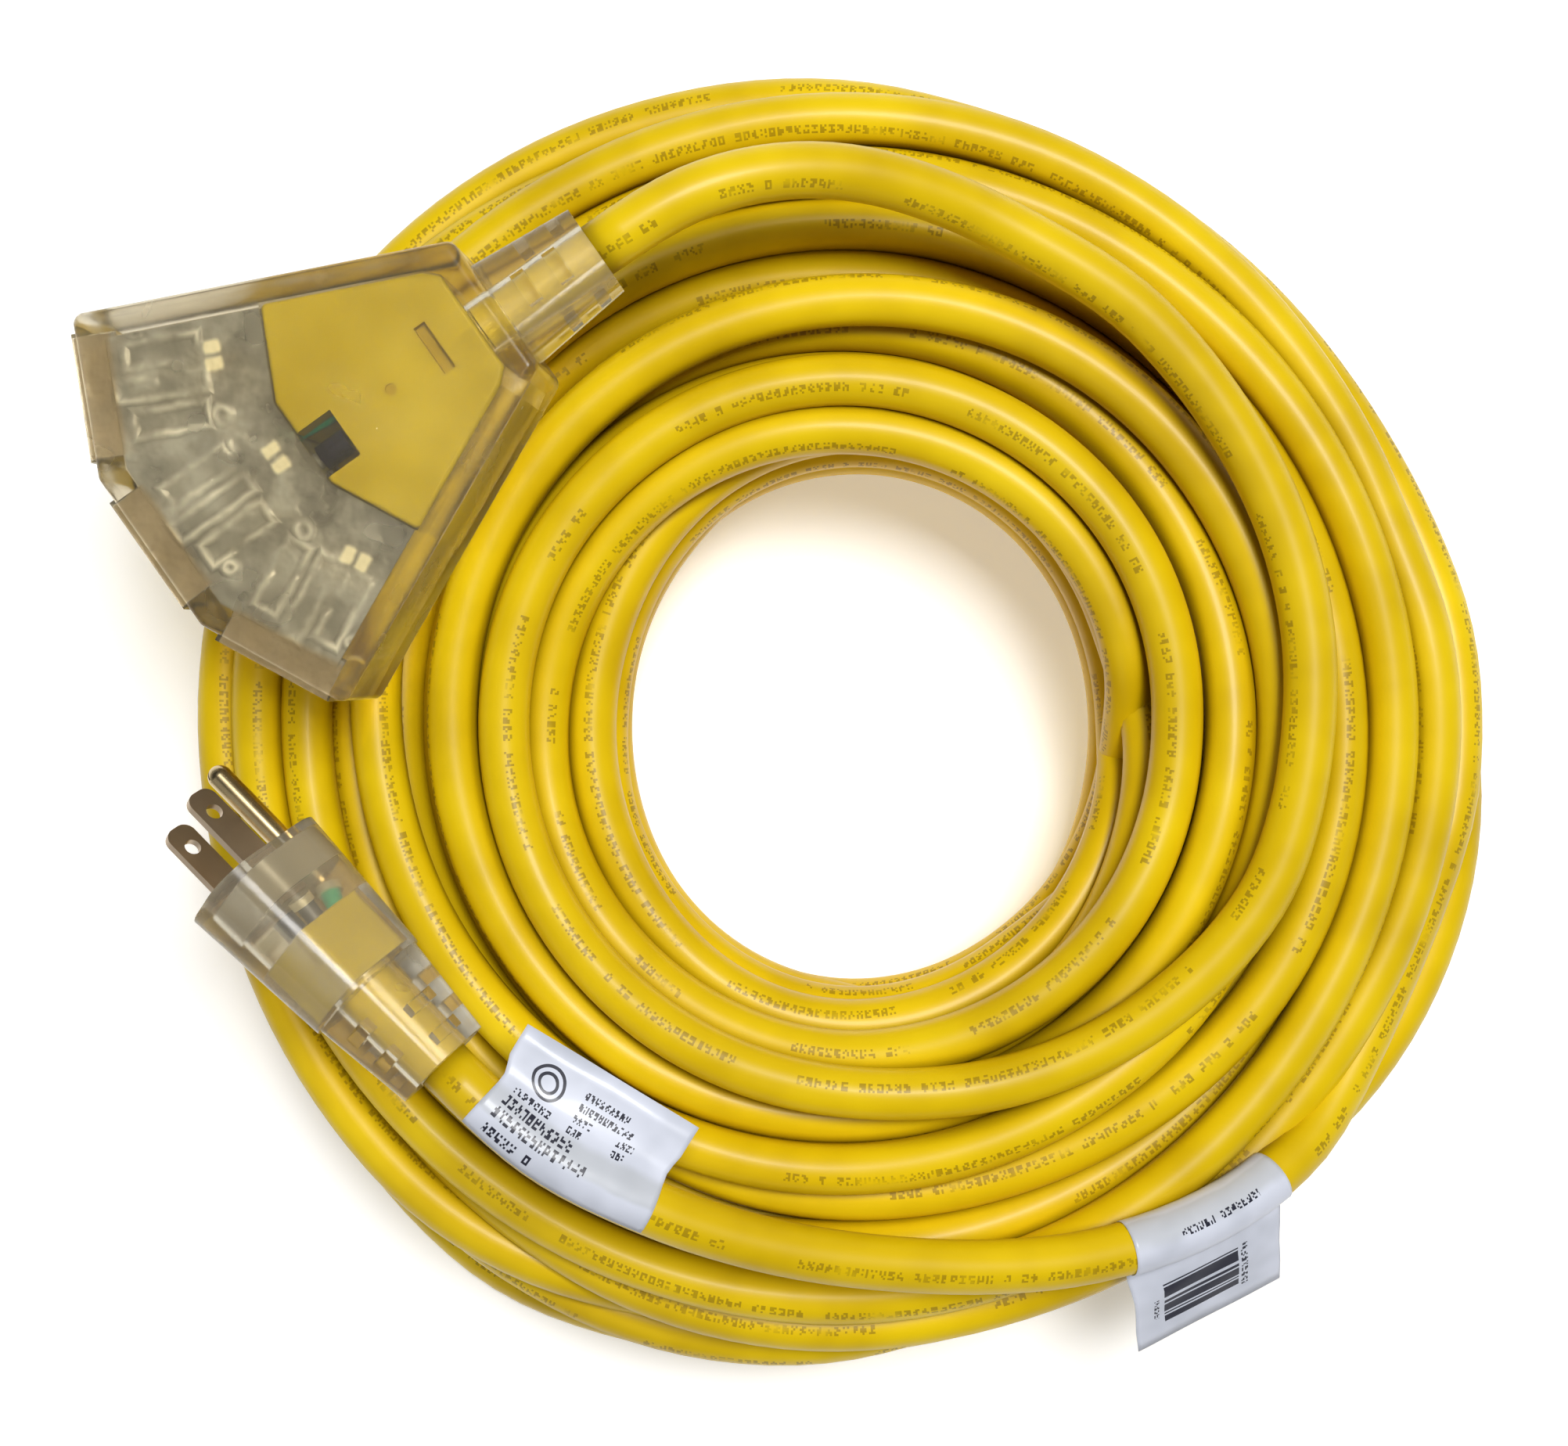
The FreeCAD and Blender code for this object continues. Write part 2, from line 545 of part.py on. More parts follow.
def tap_wiring():
    """Conductors, their crimps, the pilot lamp, its resistor and leads."""
    parts, crimps = {}, []
    for colour, (start, end) in wire_paths().items():
        parts[f"tap_{colour}_wire"] = rod(start, end, WIRE_D / 2)
        back = V(*end) - (V(*end) - V(*start)).normalize() * CRIMP_LONG
        barrel = rod(tuple(back), end, CRIMP_R - 0.05).cut(rod(start, end, WIRE_D / 2 + 0.02))
        crimps.append(barrel)
    parts["tap_crimps"] = Part.makeCompound(crimps)
    bodies = (("tap_lamp", LAMP_X, LAMP_R), ("tap_resistor", RESISTOR_X, RESISTOR_R))
    for name, (x_from, x_to), radius in bodies:
        parts[name] = rod((x_from, LAMP_Y, LAMP_Z), (x_to, LAMP_Y, LAMP_Z), radius)
    parts["tap_lamp_leads"] = Part.makeCompound([rod(*ends, LAMP_LEAD_R) for ends in LAMP_LEADS])
    parts["tap_jacket_end"] = rod((-RELIEF_LONG, 0, 0), (INNER_BACK_X - 0.3, 0, 0), CORD_D / 2)
    return parts


def tap_parts():
    """Every piece of the triple tap, in the part's frame."""
    relief = strain_relief()
    parts = {"tap_outer_mould": tap_outer_mould(), "tap_strain_relief": relief,
             "tap_inner_mould": tap_inner_mould()}
    parts.update(tap_carriers())
    parts.update(tap_metal())
    parts.update(tap_wiring())
    frame = placement(TAP_AT, TAP_HEADING, -TAP_DROP)
    return {name: put(shape, frame) for name, shape in parts.items()}


# --- plug --------------------------------------------------------------------------------------------------

def blade(y, inner_end):
    """Flat plug blade with a rounded tip, a hole, and a tail inside the moulding."""
    flat = box((-BLADE_LONG, inner_end), (y - BLADE_THICK / 2, y + BLADE_THICK / 2),
               (PLUG_BLADE_Z - BLADE_WIDE / 2, PLUG_BLADE_Z + BLADE_WIDE / 2))
    tip = [e for e in flat.Edges
           if e.BoundBox.XMax < -BLADE_LONG + 0.01 and abs(e.tangentAt(e.FirstParameter).y) > 0.9]
    flat = flat.makeFillet(BLADE_TIP_ROUND, tip)
    hole = rod((-BLADE_HOLE_AT, y - 2, PLUG_BLADE_Z), (-BLADE_HOLE_AT, y + 2, PLUG_BLADE_Z), BLADE_HOLE_D / 2)
    return flat.cut(hole)


def ground_pin():
    """Rolled brass ground pin with a domed, slit tip and a thinner shank inside the plug."""
    z = PLUG_BLADE_Z + GROUND_UP
    pin = rod((-PIN_LONG + PIN_R, 0, z), (0, 0, z), PIN_R)
    pin = pin.fuse(rod((0, 0, z), (BRIDGE[1] + TAIL_IN, 0, z), PIN_SHANK_R))
    dome = Part.makeSphere(PIN_R, V(-PIN_LONG + PIN_R, 0, z))
    deep, half = PIN_SLIT
    slit = box((-PIN_LONG - 1, -PIN_LONG + deep), (-half, half), (z - 2 * PIN_R, z + 2 * PIN_R))
    return pin.fuse(dome).removeSplitter().cut(slit)


def plug_wire_paths():
    """Where each conductor runs in the plug, from its crimp to the jacket's end."""
    lay = WIRE_D / math.sqrt(3)
    back = PLUG_INNER[1] - 4.4
    front = BRIDGE[1] + TAIL_IN + CRIMP_CLEAR + PLUG_CRIMP[0]
    return {
        "black": ((front, -SLOT_OFF, PLUG_BLADE_Z), (back, -lay * 0.87, -lay / 2)),
        "white": ((front, SLOT_OFF, PLUG_BLADE_Z), (back, lay * 0.87, -lay / 2)),
        "green": ((front, 0, PLUG_BLADE_Z + GROUND_UP - 0.6), (back, 0, lay)),
    }


def plug_outer_mould():
    """Clear plug body, tapered towards the cord, hollow round the pieces that it holds."""
    ends = [rounded_section(0, *PLUG_FRONT), rounded_section(PLUG_LONG, *PLUG_BACK)]
    body = Part.makeLoft(ends, True, True)
    body = body.cut(rounded_bar((BRIDGE[0] - GAP, BRIDGE[1] + GAP), BRIDGE_SECTION, PLUG_ROOM_Z, GAP))
    body = body.cut(rounded_bar((BRIDGE[1], PLUG_INNER[0] + 0.1), PLUG_ROOM, PLUG_ROOM_Z))
    body = body.cut(box((PLUG_INNER[0] - GAP, PLUG_INNER[1] + GAP),
                        (-PLUG_INNER_HALF - GAP, PLUG_INNER_HALF + GAP),
                        (-PLUG_INNER_HALF - GAP, PLUG_INNER_HALF + GAP)))
    body = body.cut(rod((PLUG_INNER[1] - 1, 0, 0), (PLUG_LONG + 2, 0, 0), CORD_D / 2 + GAP))
    front = (-1, BRIDGE[0] + 0.1)
    half_thick, half_wide = BLADE_THICK / 2 + GAP, BLADE_WIDE / 2 + GAP
    for y in (-SLOT_OFF, SLOT_OFF):
        body = body.cut(box(front, (y - half_thick, y + half_thick),
                            (PLUG_BLADE_Z - half_wide, PLUG_BLADE_Z + half_wide)))
    for start, end in plug_wire_paths().values():
        body = body.cut(rod(start, end, WIRE_D / 2 + GAP))
    z = PLUG_BLADE_Z + GROUND_UP
    return body.cut(rod((front[0], 0, z), (front[1], 0, z), PIN_SHANK_R + GAP))


def plug_bridge():
    """Clear carrier that holds the two blades and the pin in line."""
    block = rounded_bar(BRIDGE, BRIDGE_SECTION, PLUG_ROOM_Z)
    half_thick, half_wide = BLADE_THICK / 2 + SEAT_GAP, BLADE_WIDE / 2 + SEAT_GAP
    for y in (-SLOT_OFF, SLOT_OFF):
        block = block.cut(box((0, 20), (y - half_thick, y + half_thick),
                              (PLUG_BLADE_Z - half_wide, PLUG_BLADE_Z + half_wide)))
    z = PLUG_BLADE_Z + GROUND_UP
    return block.cut(rod((0, 0, z), (20, 0, z), PIN_SHANK_R + SEAT_GAP))


def plug_inner_mould():
    """Yellow inner mould that grips the jacket's end and spreads the conductors."""
    half = PLUG_INNER_HALF
    block = box(PLUG_INNER, (-half, half), (-half, half))
    along = [e for e in block.Edges if abs(e.tangentAt(e.FirstParameter).x) > 0.9]
    block = block.makeFillet(PLUG_INNER_ROUND, along)
    block = block.cut(rod((PLUG_INNER[1] - PLUG_GRIP, 0, 0), (PLUG_INNER[1] + 2, 0, 0), CORD_D / 2 + GAP))
    for start, end in plug_wire_paths().values():
        beyond = V(*end) + (V(*end) - V(*start)).normalize() * 2
        block = block.cut(rod(start, tuple(beyond), WIRE_D / 2 + GAP))
    return block


def plug_wiring():
    """Conductors, crimps, pilot lamp and the jacket's end inside the plug."""
    parts, crimps = {}, []
    for colour, (start, end) in plug_wire_paths().items():
        parts[f"plug_{colour}_wire"] = rod(start, end, WIRE_D / 2)
        direction = (V(*end) - V(*start)).normalize()
        nose, tail = V(*start) - direction * PLUG_CRIMP[0], V(*start) + direction * PLUG_CRIMP[1]
        barrel = rod(tuple(nose), tuple(tail), CRIMP_R - 0.1)
        crimps.append(barrel.cut(rod(start, end, WIRE_D / 2 + 0.02)))
    parts["plug_crimps"] = Part.makeCompound(crimps)
    (x_from, x_to), y, z, radius = PLUG_LAMP
    parts["plug_lamp"] = rod((x_from, y, z), (x_to, y, z), radius)
    jacket_x = (PLUG_INNER[1] - PLUG_GRIP + 0.2, PLUG_LONG + RELIEF_LONG)
    parts["plug_jacket_end"] = rod((jacket_x[0], 0, 0), (jacket_x[1], 0, 0), CORD_D / 2)
    return parts


def plug_parts():
    """Every piece of the plug, in the part's frame."""
    relief = strain_relief()
    relief.Placement = placement(V(PLUG_LONG, 0, 0), 180)
    tail = BRIDGE[1] + TAIL_IN
    parts = {
        "plug_outer_mould": plug_outer_mould(), "plug_strain_relief": relief,
        "plug_inner_mould": plug_inner_mould(), "plug_bridge": plug_bridge(),
        "line_blade": blade(-SLOT_OFF, tail), "neutral_blade": blade(SLOT_OFF, tail),
        "ground_pin": ground_pin(),
    }
    parts.update(plug_wiring())
    frame = placement(PLUG_AT, PLUG_HEADING, PLUG_RISE, PLUG_ROLL)
    return {name: put(shape, frame) for name, shape in parts.items()}


def cord_parts():
    """The coil, the two leads that leave it, and the labels on the plug's lead."""
    tap = placement(TAP_AT, TAP_HEADING, -TAP_DROP)
    plug = placement(PLUG_AT, PLUG_HEADING, PLUG_RISE, PLUG_ROLL)
    tap_end = tap.multVec(V(-RELIEF_LONG, 0, 0))
    plug_end = plug.multVec(V(PLUG_LONG + RELIEF_LONG, 0, 0))
    tap_route = [tuple(tap_end)] + TAP_LEAD
    plug_route = [tuple(plug_end)] + PLUG_LEAD
    print("tap lead starts", [round(v, 2) for v in tap_end])
    print("plug lead starts", [round(v, 2) for v in plug_end])
    tap_tube, _ = lead("tap lead", tap_route)
    plug_tube, plug_path = lead("plug lead", plug_route)
    return {
        "cord_coil": cord_coil(),
        "tap_lead": tap_tube,
        "plug_lead": plug_tube,
        "rating_label": flag_label(plug_path, RATING_LABEL_AT, RATING_LABEL),
        "barcode_label": flag_label(plug_path, BARCODE_LABEL_AT, BARCODE_LABEL),
    }


def main():
    os.makedirs("parts", exist_ok=True)
    parts = {}
    parts.update(cord_parts())
    parts.update(tap_parts())
    parts.update(plug_parts())
    for name, shape in parts.items():
        shape.exportStep(f"parts/{name}.step")
    print(len(parts), "nodes written")


main()
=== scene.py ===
"""Coiled yellow extension cord with a clear triple tap and a clear plug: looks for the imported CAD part.

Everything is in metres, in the CAD part's own frame: origin in the middle of the coil on the floor, +Z up.
"""

import math

import bmesh
import bpy
import numpy as np
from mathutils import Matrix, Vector


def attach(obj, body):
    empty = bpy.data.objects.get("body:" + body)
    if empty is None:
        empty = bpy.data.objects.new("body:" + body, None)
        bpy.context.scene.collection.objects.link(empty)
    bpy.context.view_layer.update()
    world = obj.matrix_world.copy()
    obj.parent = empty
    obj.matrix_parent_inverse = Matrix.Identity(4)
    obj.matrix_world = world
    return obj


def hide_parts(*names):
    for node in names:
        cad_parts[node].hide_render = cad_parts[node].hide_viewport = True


BODY = "cord_set"                    # the one body that the cord, tap and plug are in
MM = 0.001

# --- camera and studio ----------------------------------------------------------------------------
CAMERA_AT = (-0.0133, 0.0, 0.480)    # straight above, looking down
LENS_MM = 46.9
SENSOR_MM = 36.0
# Each lamp: place, side of its square, power.
LAMPS = {
    "key": ((0.20, 0.30, 1.35), 0.40, 17.2),
    "fill": ((-0.70, -0.70, 1.00), 1.0, 1.5),
}
LAMPS_AIM = (0.0, 0.0, 0.03)
FLOOR_REACH = 8.0
FLOOR_GLOW = 0.30                    # keeps the floor white, like a lit table
BACKDROP, OVERHEAD = 0.36, 0.03      # brightness of the world low down and high up
BACKDROP_SINE = (0.15, 0.50)         # sine of the height angle at which the backdrop starts and ends fading

# --- cord -----------------------------------------------------------------------------------------
CORD_D = 0.0107
TAP_ROUTE = [                        # the tap's lead, from its strain relief into the coil
    (-0.04863, 0.08894, 0.09507), (-0.03759, 0.09667, 0.09577), (-0.0248, 0.1023, 0.0948),
    (-0.0113, 0.1052, 0.0924), (0.0022, 0.1052, 0.0890), (0.0154, 0.1025, 0.0851), (0.0281, 0.0981, 0.0813),
]
PLUG_ROUTE = [                       # the plug's lead, from its strain relief into the coil
    (-0.0779, -0.0647, 0.09247), (-0.0689, -0.0737, 0.0932), (-0.0573, -0.0829, 0.0936),
    (-0.0422, -0.0908, 0.0918), (-0.0272, -0.0975, 0.0882), (-0.0096, -0.1029, 0.0842),
    (0.0096, -0.1062, 0.0799), (0.0292, -0.1078, 0.0760), (0.0489, -0.1070, 0.0718),
    (0.0690, -0.1023, 0.0666), (0.0876, -0.0936, 0.0596), (0.1026, -0.0806, 0.0508),
]
CONDUCTORS = 3                       # they show as faint ridges wound round the jacket
LAY_LENGTH = 0.075
LAY_RIDGE = 0.008                    # share of the radius
LEGEND_TALL, LEGEND_PITCH = 0.0019, 0.0018
STEPS = 36                           # control points in each turn of the coil
TURNS = 49.7                         # turns from the tap's lead round to the plug's lead
# Radii at 0, 90, 180 and 270 degrees from +X: the coil isn't quite round.
HOLE_RADIUS = (0.0545, 0.0553, 0.0470, 0.0568)
OUTER_RADIUS = (0.1394, 0.1416, 0.1405, 0.1412)
# How far the coil's outside stands out (or in, below 0) of that oval at each azimuth in degrees.
BULGE = [
    (0, 0.0010), (18, -0.0110), (40, -0.0105), (60, -0.0080), (80, -0.0055), (100, 0.0005),
    (125, 0.0050), (160, 0.0000), (190, -0.0010), (220, 0.0005), (250, 0.0035), (268, -0.0015),
    (283, -0.0090), (300, -0.0040), (318, 0.0060), (335, 0.0115), (350, 0.0075), (360, 0.0010),
]
CROWN_Z = 0.0780                     # top of the coil
BELLY_Z = 0.030                      # height at which the coil's section is widest
ROUNDING = 2.4                       # exponent of the rounded section that the coil fills
# Each column of turns in the coil's section, from the inside: turns in it, and its four radii.
COLUMNS = [
    (3, (0.0602, 0.0614, 0.0536, 0.0628)),
    (5, (0.0670, 0.0695, 0.0630, 0.0715)),
    (6, (0.0760, 0.0775, 0.0725, 0.0815)),
    (7, (0.0845, 0.0885, 0.0830, 0.0925)),
    (7, (0.0940, 0.0980, 0.0930, 0.1010)),
    (6, (0.1035, 0.1070, 0.1035, 0.1085)),
    (6, (0.1130, 0.1155, 0.1135, 0.1160)),
    (4, (0.1225, 0.1240, 0.1230, 0.1240)),
    (3, (0.1310, 0.1325, 0.1318, 0.1315)),
]
JOG = 0.25                           # share of a turn in which the cord moves over to its next place
WANDER = ((0.0011, 281.0), (0.0013, 613.0), (0.0006, 149.0))   # sideways sway: size, degrees per wave
SETTLING_ROUNDS = 600
PUSH_SHARE = 0.3                     # share of an overlap that one round takes away
SINK = 0.00035                       # how far a turn sinks in the first round; it fades to nothing
EVEN_OUT = 0.25                      # how strongly each point is drawn to between its neighbours
# The loose turns on top: degrees travelled from the start of the coil, radius.
TOP_TURN = [
    (0, 0.1013), (15, 0.1055), (32, 0.1045), (52, 0.1014), (77, 0.0966), (107, 0.0935), (119, 0.0918),
    (141, 0.0905), (161, 0.0850), (181, 0.0803), (204, 0.0752), (224, 0.0735), (249, 0.0725), (283, 0.0715),
    (330, 0.0712), (389, 0.0705), (434, 0.0690), (479, 0.0675), (569, 0.0690), (660, 0.0640),
    (750, 0.0610), (840, 0.0600),
]
TOP_LET_GO = 60                      # degrees over which the top turns' hold fades
TOP_Z_HELD, TOP_Z_FADE = 30, 30      # degrees over which their height is held, and over which that fades
TOP_TURN_Z, TOP_TURN_END_Z = 0.0815, 0.0660
# The outermost turn: degrees before the plug, radius, height, how firmly each is held (0 to 1).
LAST_TURN = [
    (0, 0.1013, 0.0922, 1, 1), (33, 0.1020, 0.0880, 1, 1), (54, 0.1074, 0.0799, 1, 1),
    (74, 0.1184, 0.0718, 1, 1), (84, 0.1236, 0.0666, 1, 1), (94, 0.1282, 0.0596, 1, 1),
    (100, 0.1305, 0.0508, 1, 1), (108, 0.1312, 0.0440, 1, 0.8), (120, 0.1322, 0.0390, 1, 0.4),
    (138, 0.1332, 0.0345, 0.8, 0.1), (160, 0.1340, 0.0310, 0.4, 0), (228, 0.1360, 0.0280, 0, 0),
    (318, 0.1360, 0.0200, 0.2, 0), (338, 0.1385, 0.0100, 0.8, 0.6), (353, 0.1450, 0.0060, 1, 1),
    (371, 0.1500, 0.0054, 1, 1), (388, 0.1455, 0.0075, 1, 1), (402, 0.1385, 0.0150, 1, 0.6),
    (418, 0.1350, 0.0240, 0.5, 0), (450, 0.1345, 0.0260, 0, 0),
]

# --- the tap's frame, as in the CAD part (place, then turn about X, Y and Z in degrees) ------------
TAP_FRAME = ((-0.0654, 0.0772, 0.0940), (0.0, 3.0, 215.0))
SIDE_OUTLET = (72.25, 30.2, 26.5)    # middle of a side outlet's face in the tap, mm, and its fan angle
MIDDLE_OUTLET = (79.0, 0.0, 0.0)
# In the carrier, in mm from the middle of an outlet's face: the contact chambers' ribs (middle, half
# sizes) and rings (middle, radius), along which highlights are painted, the room they take up, which is given
# painted shade, the nose behind the face, and pale wire ends.
CHAMBER_RIBS = (((-15.0, -6.4), (7.0, 2.3)), ((-15.0, 6.4), (7.0, 2.3)), ((-14.0, 0.0), (8.5, 1.9)))
CHAMBER_RINGS = (((-24.5, -7.0), 1.5), ((-10.5, 10.6), 1.0))
ROOMS_X, ROOMS_HALF = (-22.0, -8.0), 8.7
NOSE_X, NOSE_HALF = (-6.4, -5.0), 11.3
MIDDLE_CRIMPS = ((-29.3, -2.6), (-29.3, 0.8))
SIDE_CRIMPS = ((-24.5, 5.7), (-24.5, 2.5))
CRIMP_HALF, CRIMP_REACH = (1.9, 1.4), 2.0
KEY_SLOT = (14.0, 0.0, 1.2, 5.0)     # in the tap's yellow mould, mm, where shade is painted: middle x and y, half sizes
GATE_MARK = (25.0, 1.5, 1.0)         # x, y, radius

# --- labels: distance of the middle along the plug's lead, length, and the sheet's shape across the lead,
# as (to the left, up) from the cord's middle ---------------------------------------------------------
RATING_AT, RATING_LONG = 0.029, 0.038
RATING_SHAPE = [
    (-0.0043, 0.0036), (-0.0030, 0.0047), (-0.0014, 0.0054), (0.0003, 0.0056), (0.0020, 0.0053),
    (0.0038, 0.0045), (0.0058, 0.0032), (0.0080, 0.0018), (0.0105, 0.0008), (0.0130, 0.0003),
    (0.0160, 0.0000), (0.0195, 0.0003),
]
BARCODE_AT, BARCODE_LONG = 0.165, 0.036
WRAP_R = 0.00556
BARCODE_WRAP = (-30, 205)            # degrees round the cord that the label covers, from its left side
BARCODE_FLAG = (-0.0235, -0.0150)    # free end of the flag
SHEET_THICK = 0.00016
SHEET_STEPS, WRAP_STEPS, FLAG_STEPS = 40, 20, 8   # along a sheet, round the cord, and out along the flag
CREASE = 0.0003                      # height of a sheet's creases
FREE_OVER = 0.008                    # distance from the lead over which a sheet stops bending with it


# --- small helpers --------------------------------------------------------------------------------

def new_object(name, mesh, material):
    """Links a mesh as an object in the scene."""
    obj = bpy.data.objects.new(name, mesh)
    bpy.context.scene.collection.objects.link(obj)
    obj.data.materials.append(material)
    return obj


def look_up(table, x, column=1):
    """Value in one column of a table at x, between its rows."""
    return np.interp(x, [row[0] for row in table], [row[column] for row in table])


def smooth(t):
    """Eases from 0 to 1."""
    return t * t * (3 - 2 * t)


def four_way(values, azimuth):
    """Smooth radius round the coil through its values at 0, 90, 180 and 270 degrees."""
    east, north, west, south = values
    middle = (east + north + west + south) / 4
    oval = (east + west - north - south) / 4
    return (middle + (east - west) / 2 * np.cos(azimuth) + (north - south) / 2 * np.sin(azimuth)
            + oval * np.cos(2 * azimuth))


def bulge(azimuth):
    """How far the coil's outside stands out of its oval."""
    return look_up(BULGE, np.degrees(azimuth) % 360)


# --- materials ------------------------------------------------------------------------------------

class Nodes:
    """A material's node tree, with short calls to add and join nodes."""

    def __init__(self, name):
        self.material = bpy.data.materials.new(name)
        self.material.use_nodes = True
        self.tree = self.material.node_tree
        self.shader = self.tree.nodes["Principled BSDF"]

    def add(self, kind, inputs=None, **settings):
        """Adds a node of a kind, with its inputs by name or number and its settings."""
        node = self.tree.nodes.new("ShaderNode" + kind)
        for key, value in settings.items():
            setattr(node, key, value)
        for key, value in (inputs or {}).items():
            self.put(node, key, value)
        return node

    def put(self, node, key, value):
        """Sets an input, or links it when the value is another node's output."""
        if isinstance(value, bpy.types.NodeSocket):
            self.tree.links.new(value, node.inputs[key])
        else:
            node.inputs[key].default_value = value

    def set(self, **values):
        """Sets inputs of the main shader; underscores stand for spaces."""
        for key, value in values.items():
            self.put(self.shader, key.replace("_", " "), value)

    def math(self, operation, a, b=0.0):
        return self.add("Math", {0: a, 1: b}, operation=operation).outputs[0]

    def between(self, value, low, high):
        """1 where a value is between two numbers, else 0."""
        above = self.math("GREATER_THAN", value, low)
        return self.math("MULTIPLY", above, self.math("LESS_THAN", value, high))

    def all_of(self, *masks):
        """1 where all masks are 1."""
        result = masks[0]
        for mask in masks[1:]:
            result = self.math("MULTIPLY", result, mask)
        return result

    def any_of(self, *masks):
        """1 where at least one mask is 1."""
        result = masks[0]
        for mask in masks[1:]:
            result = self.math("MAXIMUM", result, mask)
        return result

    def ease(self, value, low, high):
        """Rises smoothly from 0 to 1 as a value goes from low to high."""
        inputs = {"Value": value, "From Min": low, "From Max": high}
        return self.add("MapRange", inputs, interpolation_type="SMOOTHSTEP").outputs[0]

    def chance(self, number):
        """Random value from 0 to 1 for each whole number."""
        return self.add("TexWhiteNoise", {"W": number}, noise_dimensions="1D").outputs["Value"]

    def noise(self, scale, detail, rough, vector):
        inputs = {"Scale": scale, "Detail": detail, "Roughness": rough, "Vector": vector}
        return self.add("TexNoise", inputs).outputs["Fac"]

    def ramp(self, value, *stops):
        """Colour ramp over (place, colour) stops."""
        node = self.add("ValToRGB", {"Fac": value})
        ramp = node.color_ramp
        while len(ramp.elements) < len(stops):
            ramp.elements.new(0.5)
        for element, (place, colour) in zip(ramp.elements, stops):
            element.position = place
            element.color = (*colour, 1.0)
        return node.outputs["Color"]

    def mix(self, factor, a, b):
        """Colour between two colours."""
        node = self.add("Mix", data_type="RGBA")
        self.put(node, 0, factor)
        self.put(node, 6, a if isinstance(a, bpy.types.NodeSocket) else (*a, 1.0))
        self.put(node, 7, b if isinstance(b, bpy.types.NodeSocket) else (*b, 1.0))
        return node.outputs[2]

    def bump(self, height, strength, distance):
        node = self.add("Bump", {"Height": height, "Strength": strength, "Distance": distance})
        self.put(self.shader, "Normal", node.outputs["Normal"])

    def object_space(self):
        """Place in the object's own space, which is the part's frame in metres."""
        return self.add("TexCoord").outputs["Object"]

    def frame_space(self, vector, at, turn_degrees, scale=1.0):
        """Coordinates in a frame placed at a point and turned; a scale of MM gives millimetres."""
        turn = [math.radians(a) for a in turn_degrees]
        inputs = {"Vector": vector, "Location": at, "Rotation": turn, "Scale": (scale,) * 3}
        return self.add("Mapping", inputs, vector_type="TEXTURE").outputs["Vector"]

    def split(self, vector):
        node = self.add("SeparateXYZ", {"Vector": vector})
        return node.outputs["X"], node.outputs["Y"], node.outputs["Z"]

    def lets_light_in(self, tint):
        """Lets light pass straight through to what is inside."""
        ray = self.add("LightPath").outputs["Is Shadow Ray"]
        clear = self.add("BsdfTransparent", {"Color": (*tint, 1.0)})
        both = self.add("MixShader", {0: ray, 1: self.shader.outputs[0], 2: clear.outputs[0]})
        self.tree.links.new(both.outputs[0], self.tree.nodes["Material Output"].inputs["Surface"])


def greeked(n, along, across, pitch, tall, seed=0.0, word=7.0):
    """Mask of small random marks in a row, like print that is too small to read.

    The row runs along one coordinate and is tall high, starting at 0 of the other one.
    """
    letter_share, columns, rows = 0.74, 3.0, 4.0
    gap_share, space_share, blank_share = 0.20, 0.10, 0.40
    cell = n.math("ADD", n.math("DIVIDE", along, pitch), seed)
    number, inside = n.math("FLOOR", cell), n.math("FRACT", cell)
    height = n.math("DIVIDE", across, tall)
    bit_x = n.math("FLOOR", n.math("MULTIPLY", inside, columns / letter_share))
    bit_y = n.math("FLOOR", n.math("MULTIPLY", height, rows))
    spot = n.add("CombineXYZ", {"X": number, "Y": bit_x, "Z": bit_y}).outputs["Vector"]
    bit = n.add("TexWhiteNoise", {"Vector": spot}, noise_dimensions="3D").outputs["Value"]
    in_word = n.math("GREATER_THAN", n.chance(n.math("FLOOR", n.math("DIVIDE", number, word))), gap_share)
    not_space = n.math("GREATER_THAN", n.chance(number), space_share)
    in_row, in_letter = n.between(height, 0.0, 1.0), n.math("LESS_THAN", inside, letter_share)
    return n.all_of(in_row, in_letter, in_word, not_space, n.math("GREATER_THAN", bit, blank_share))


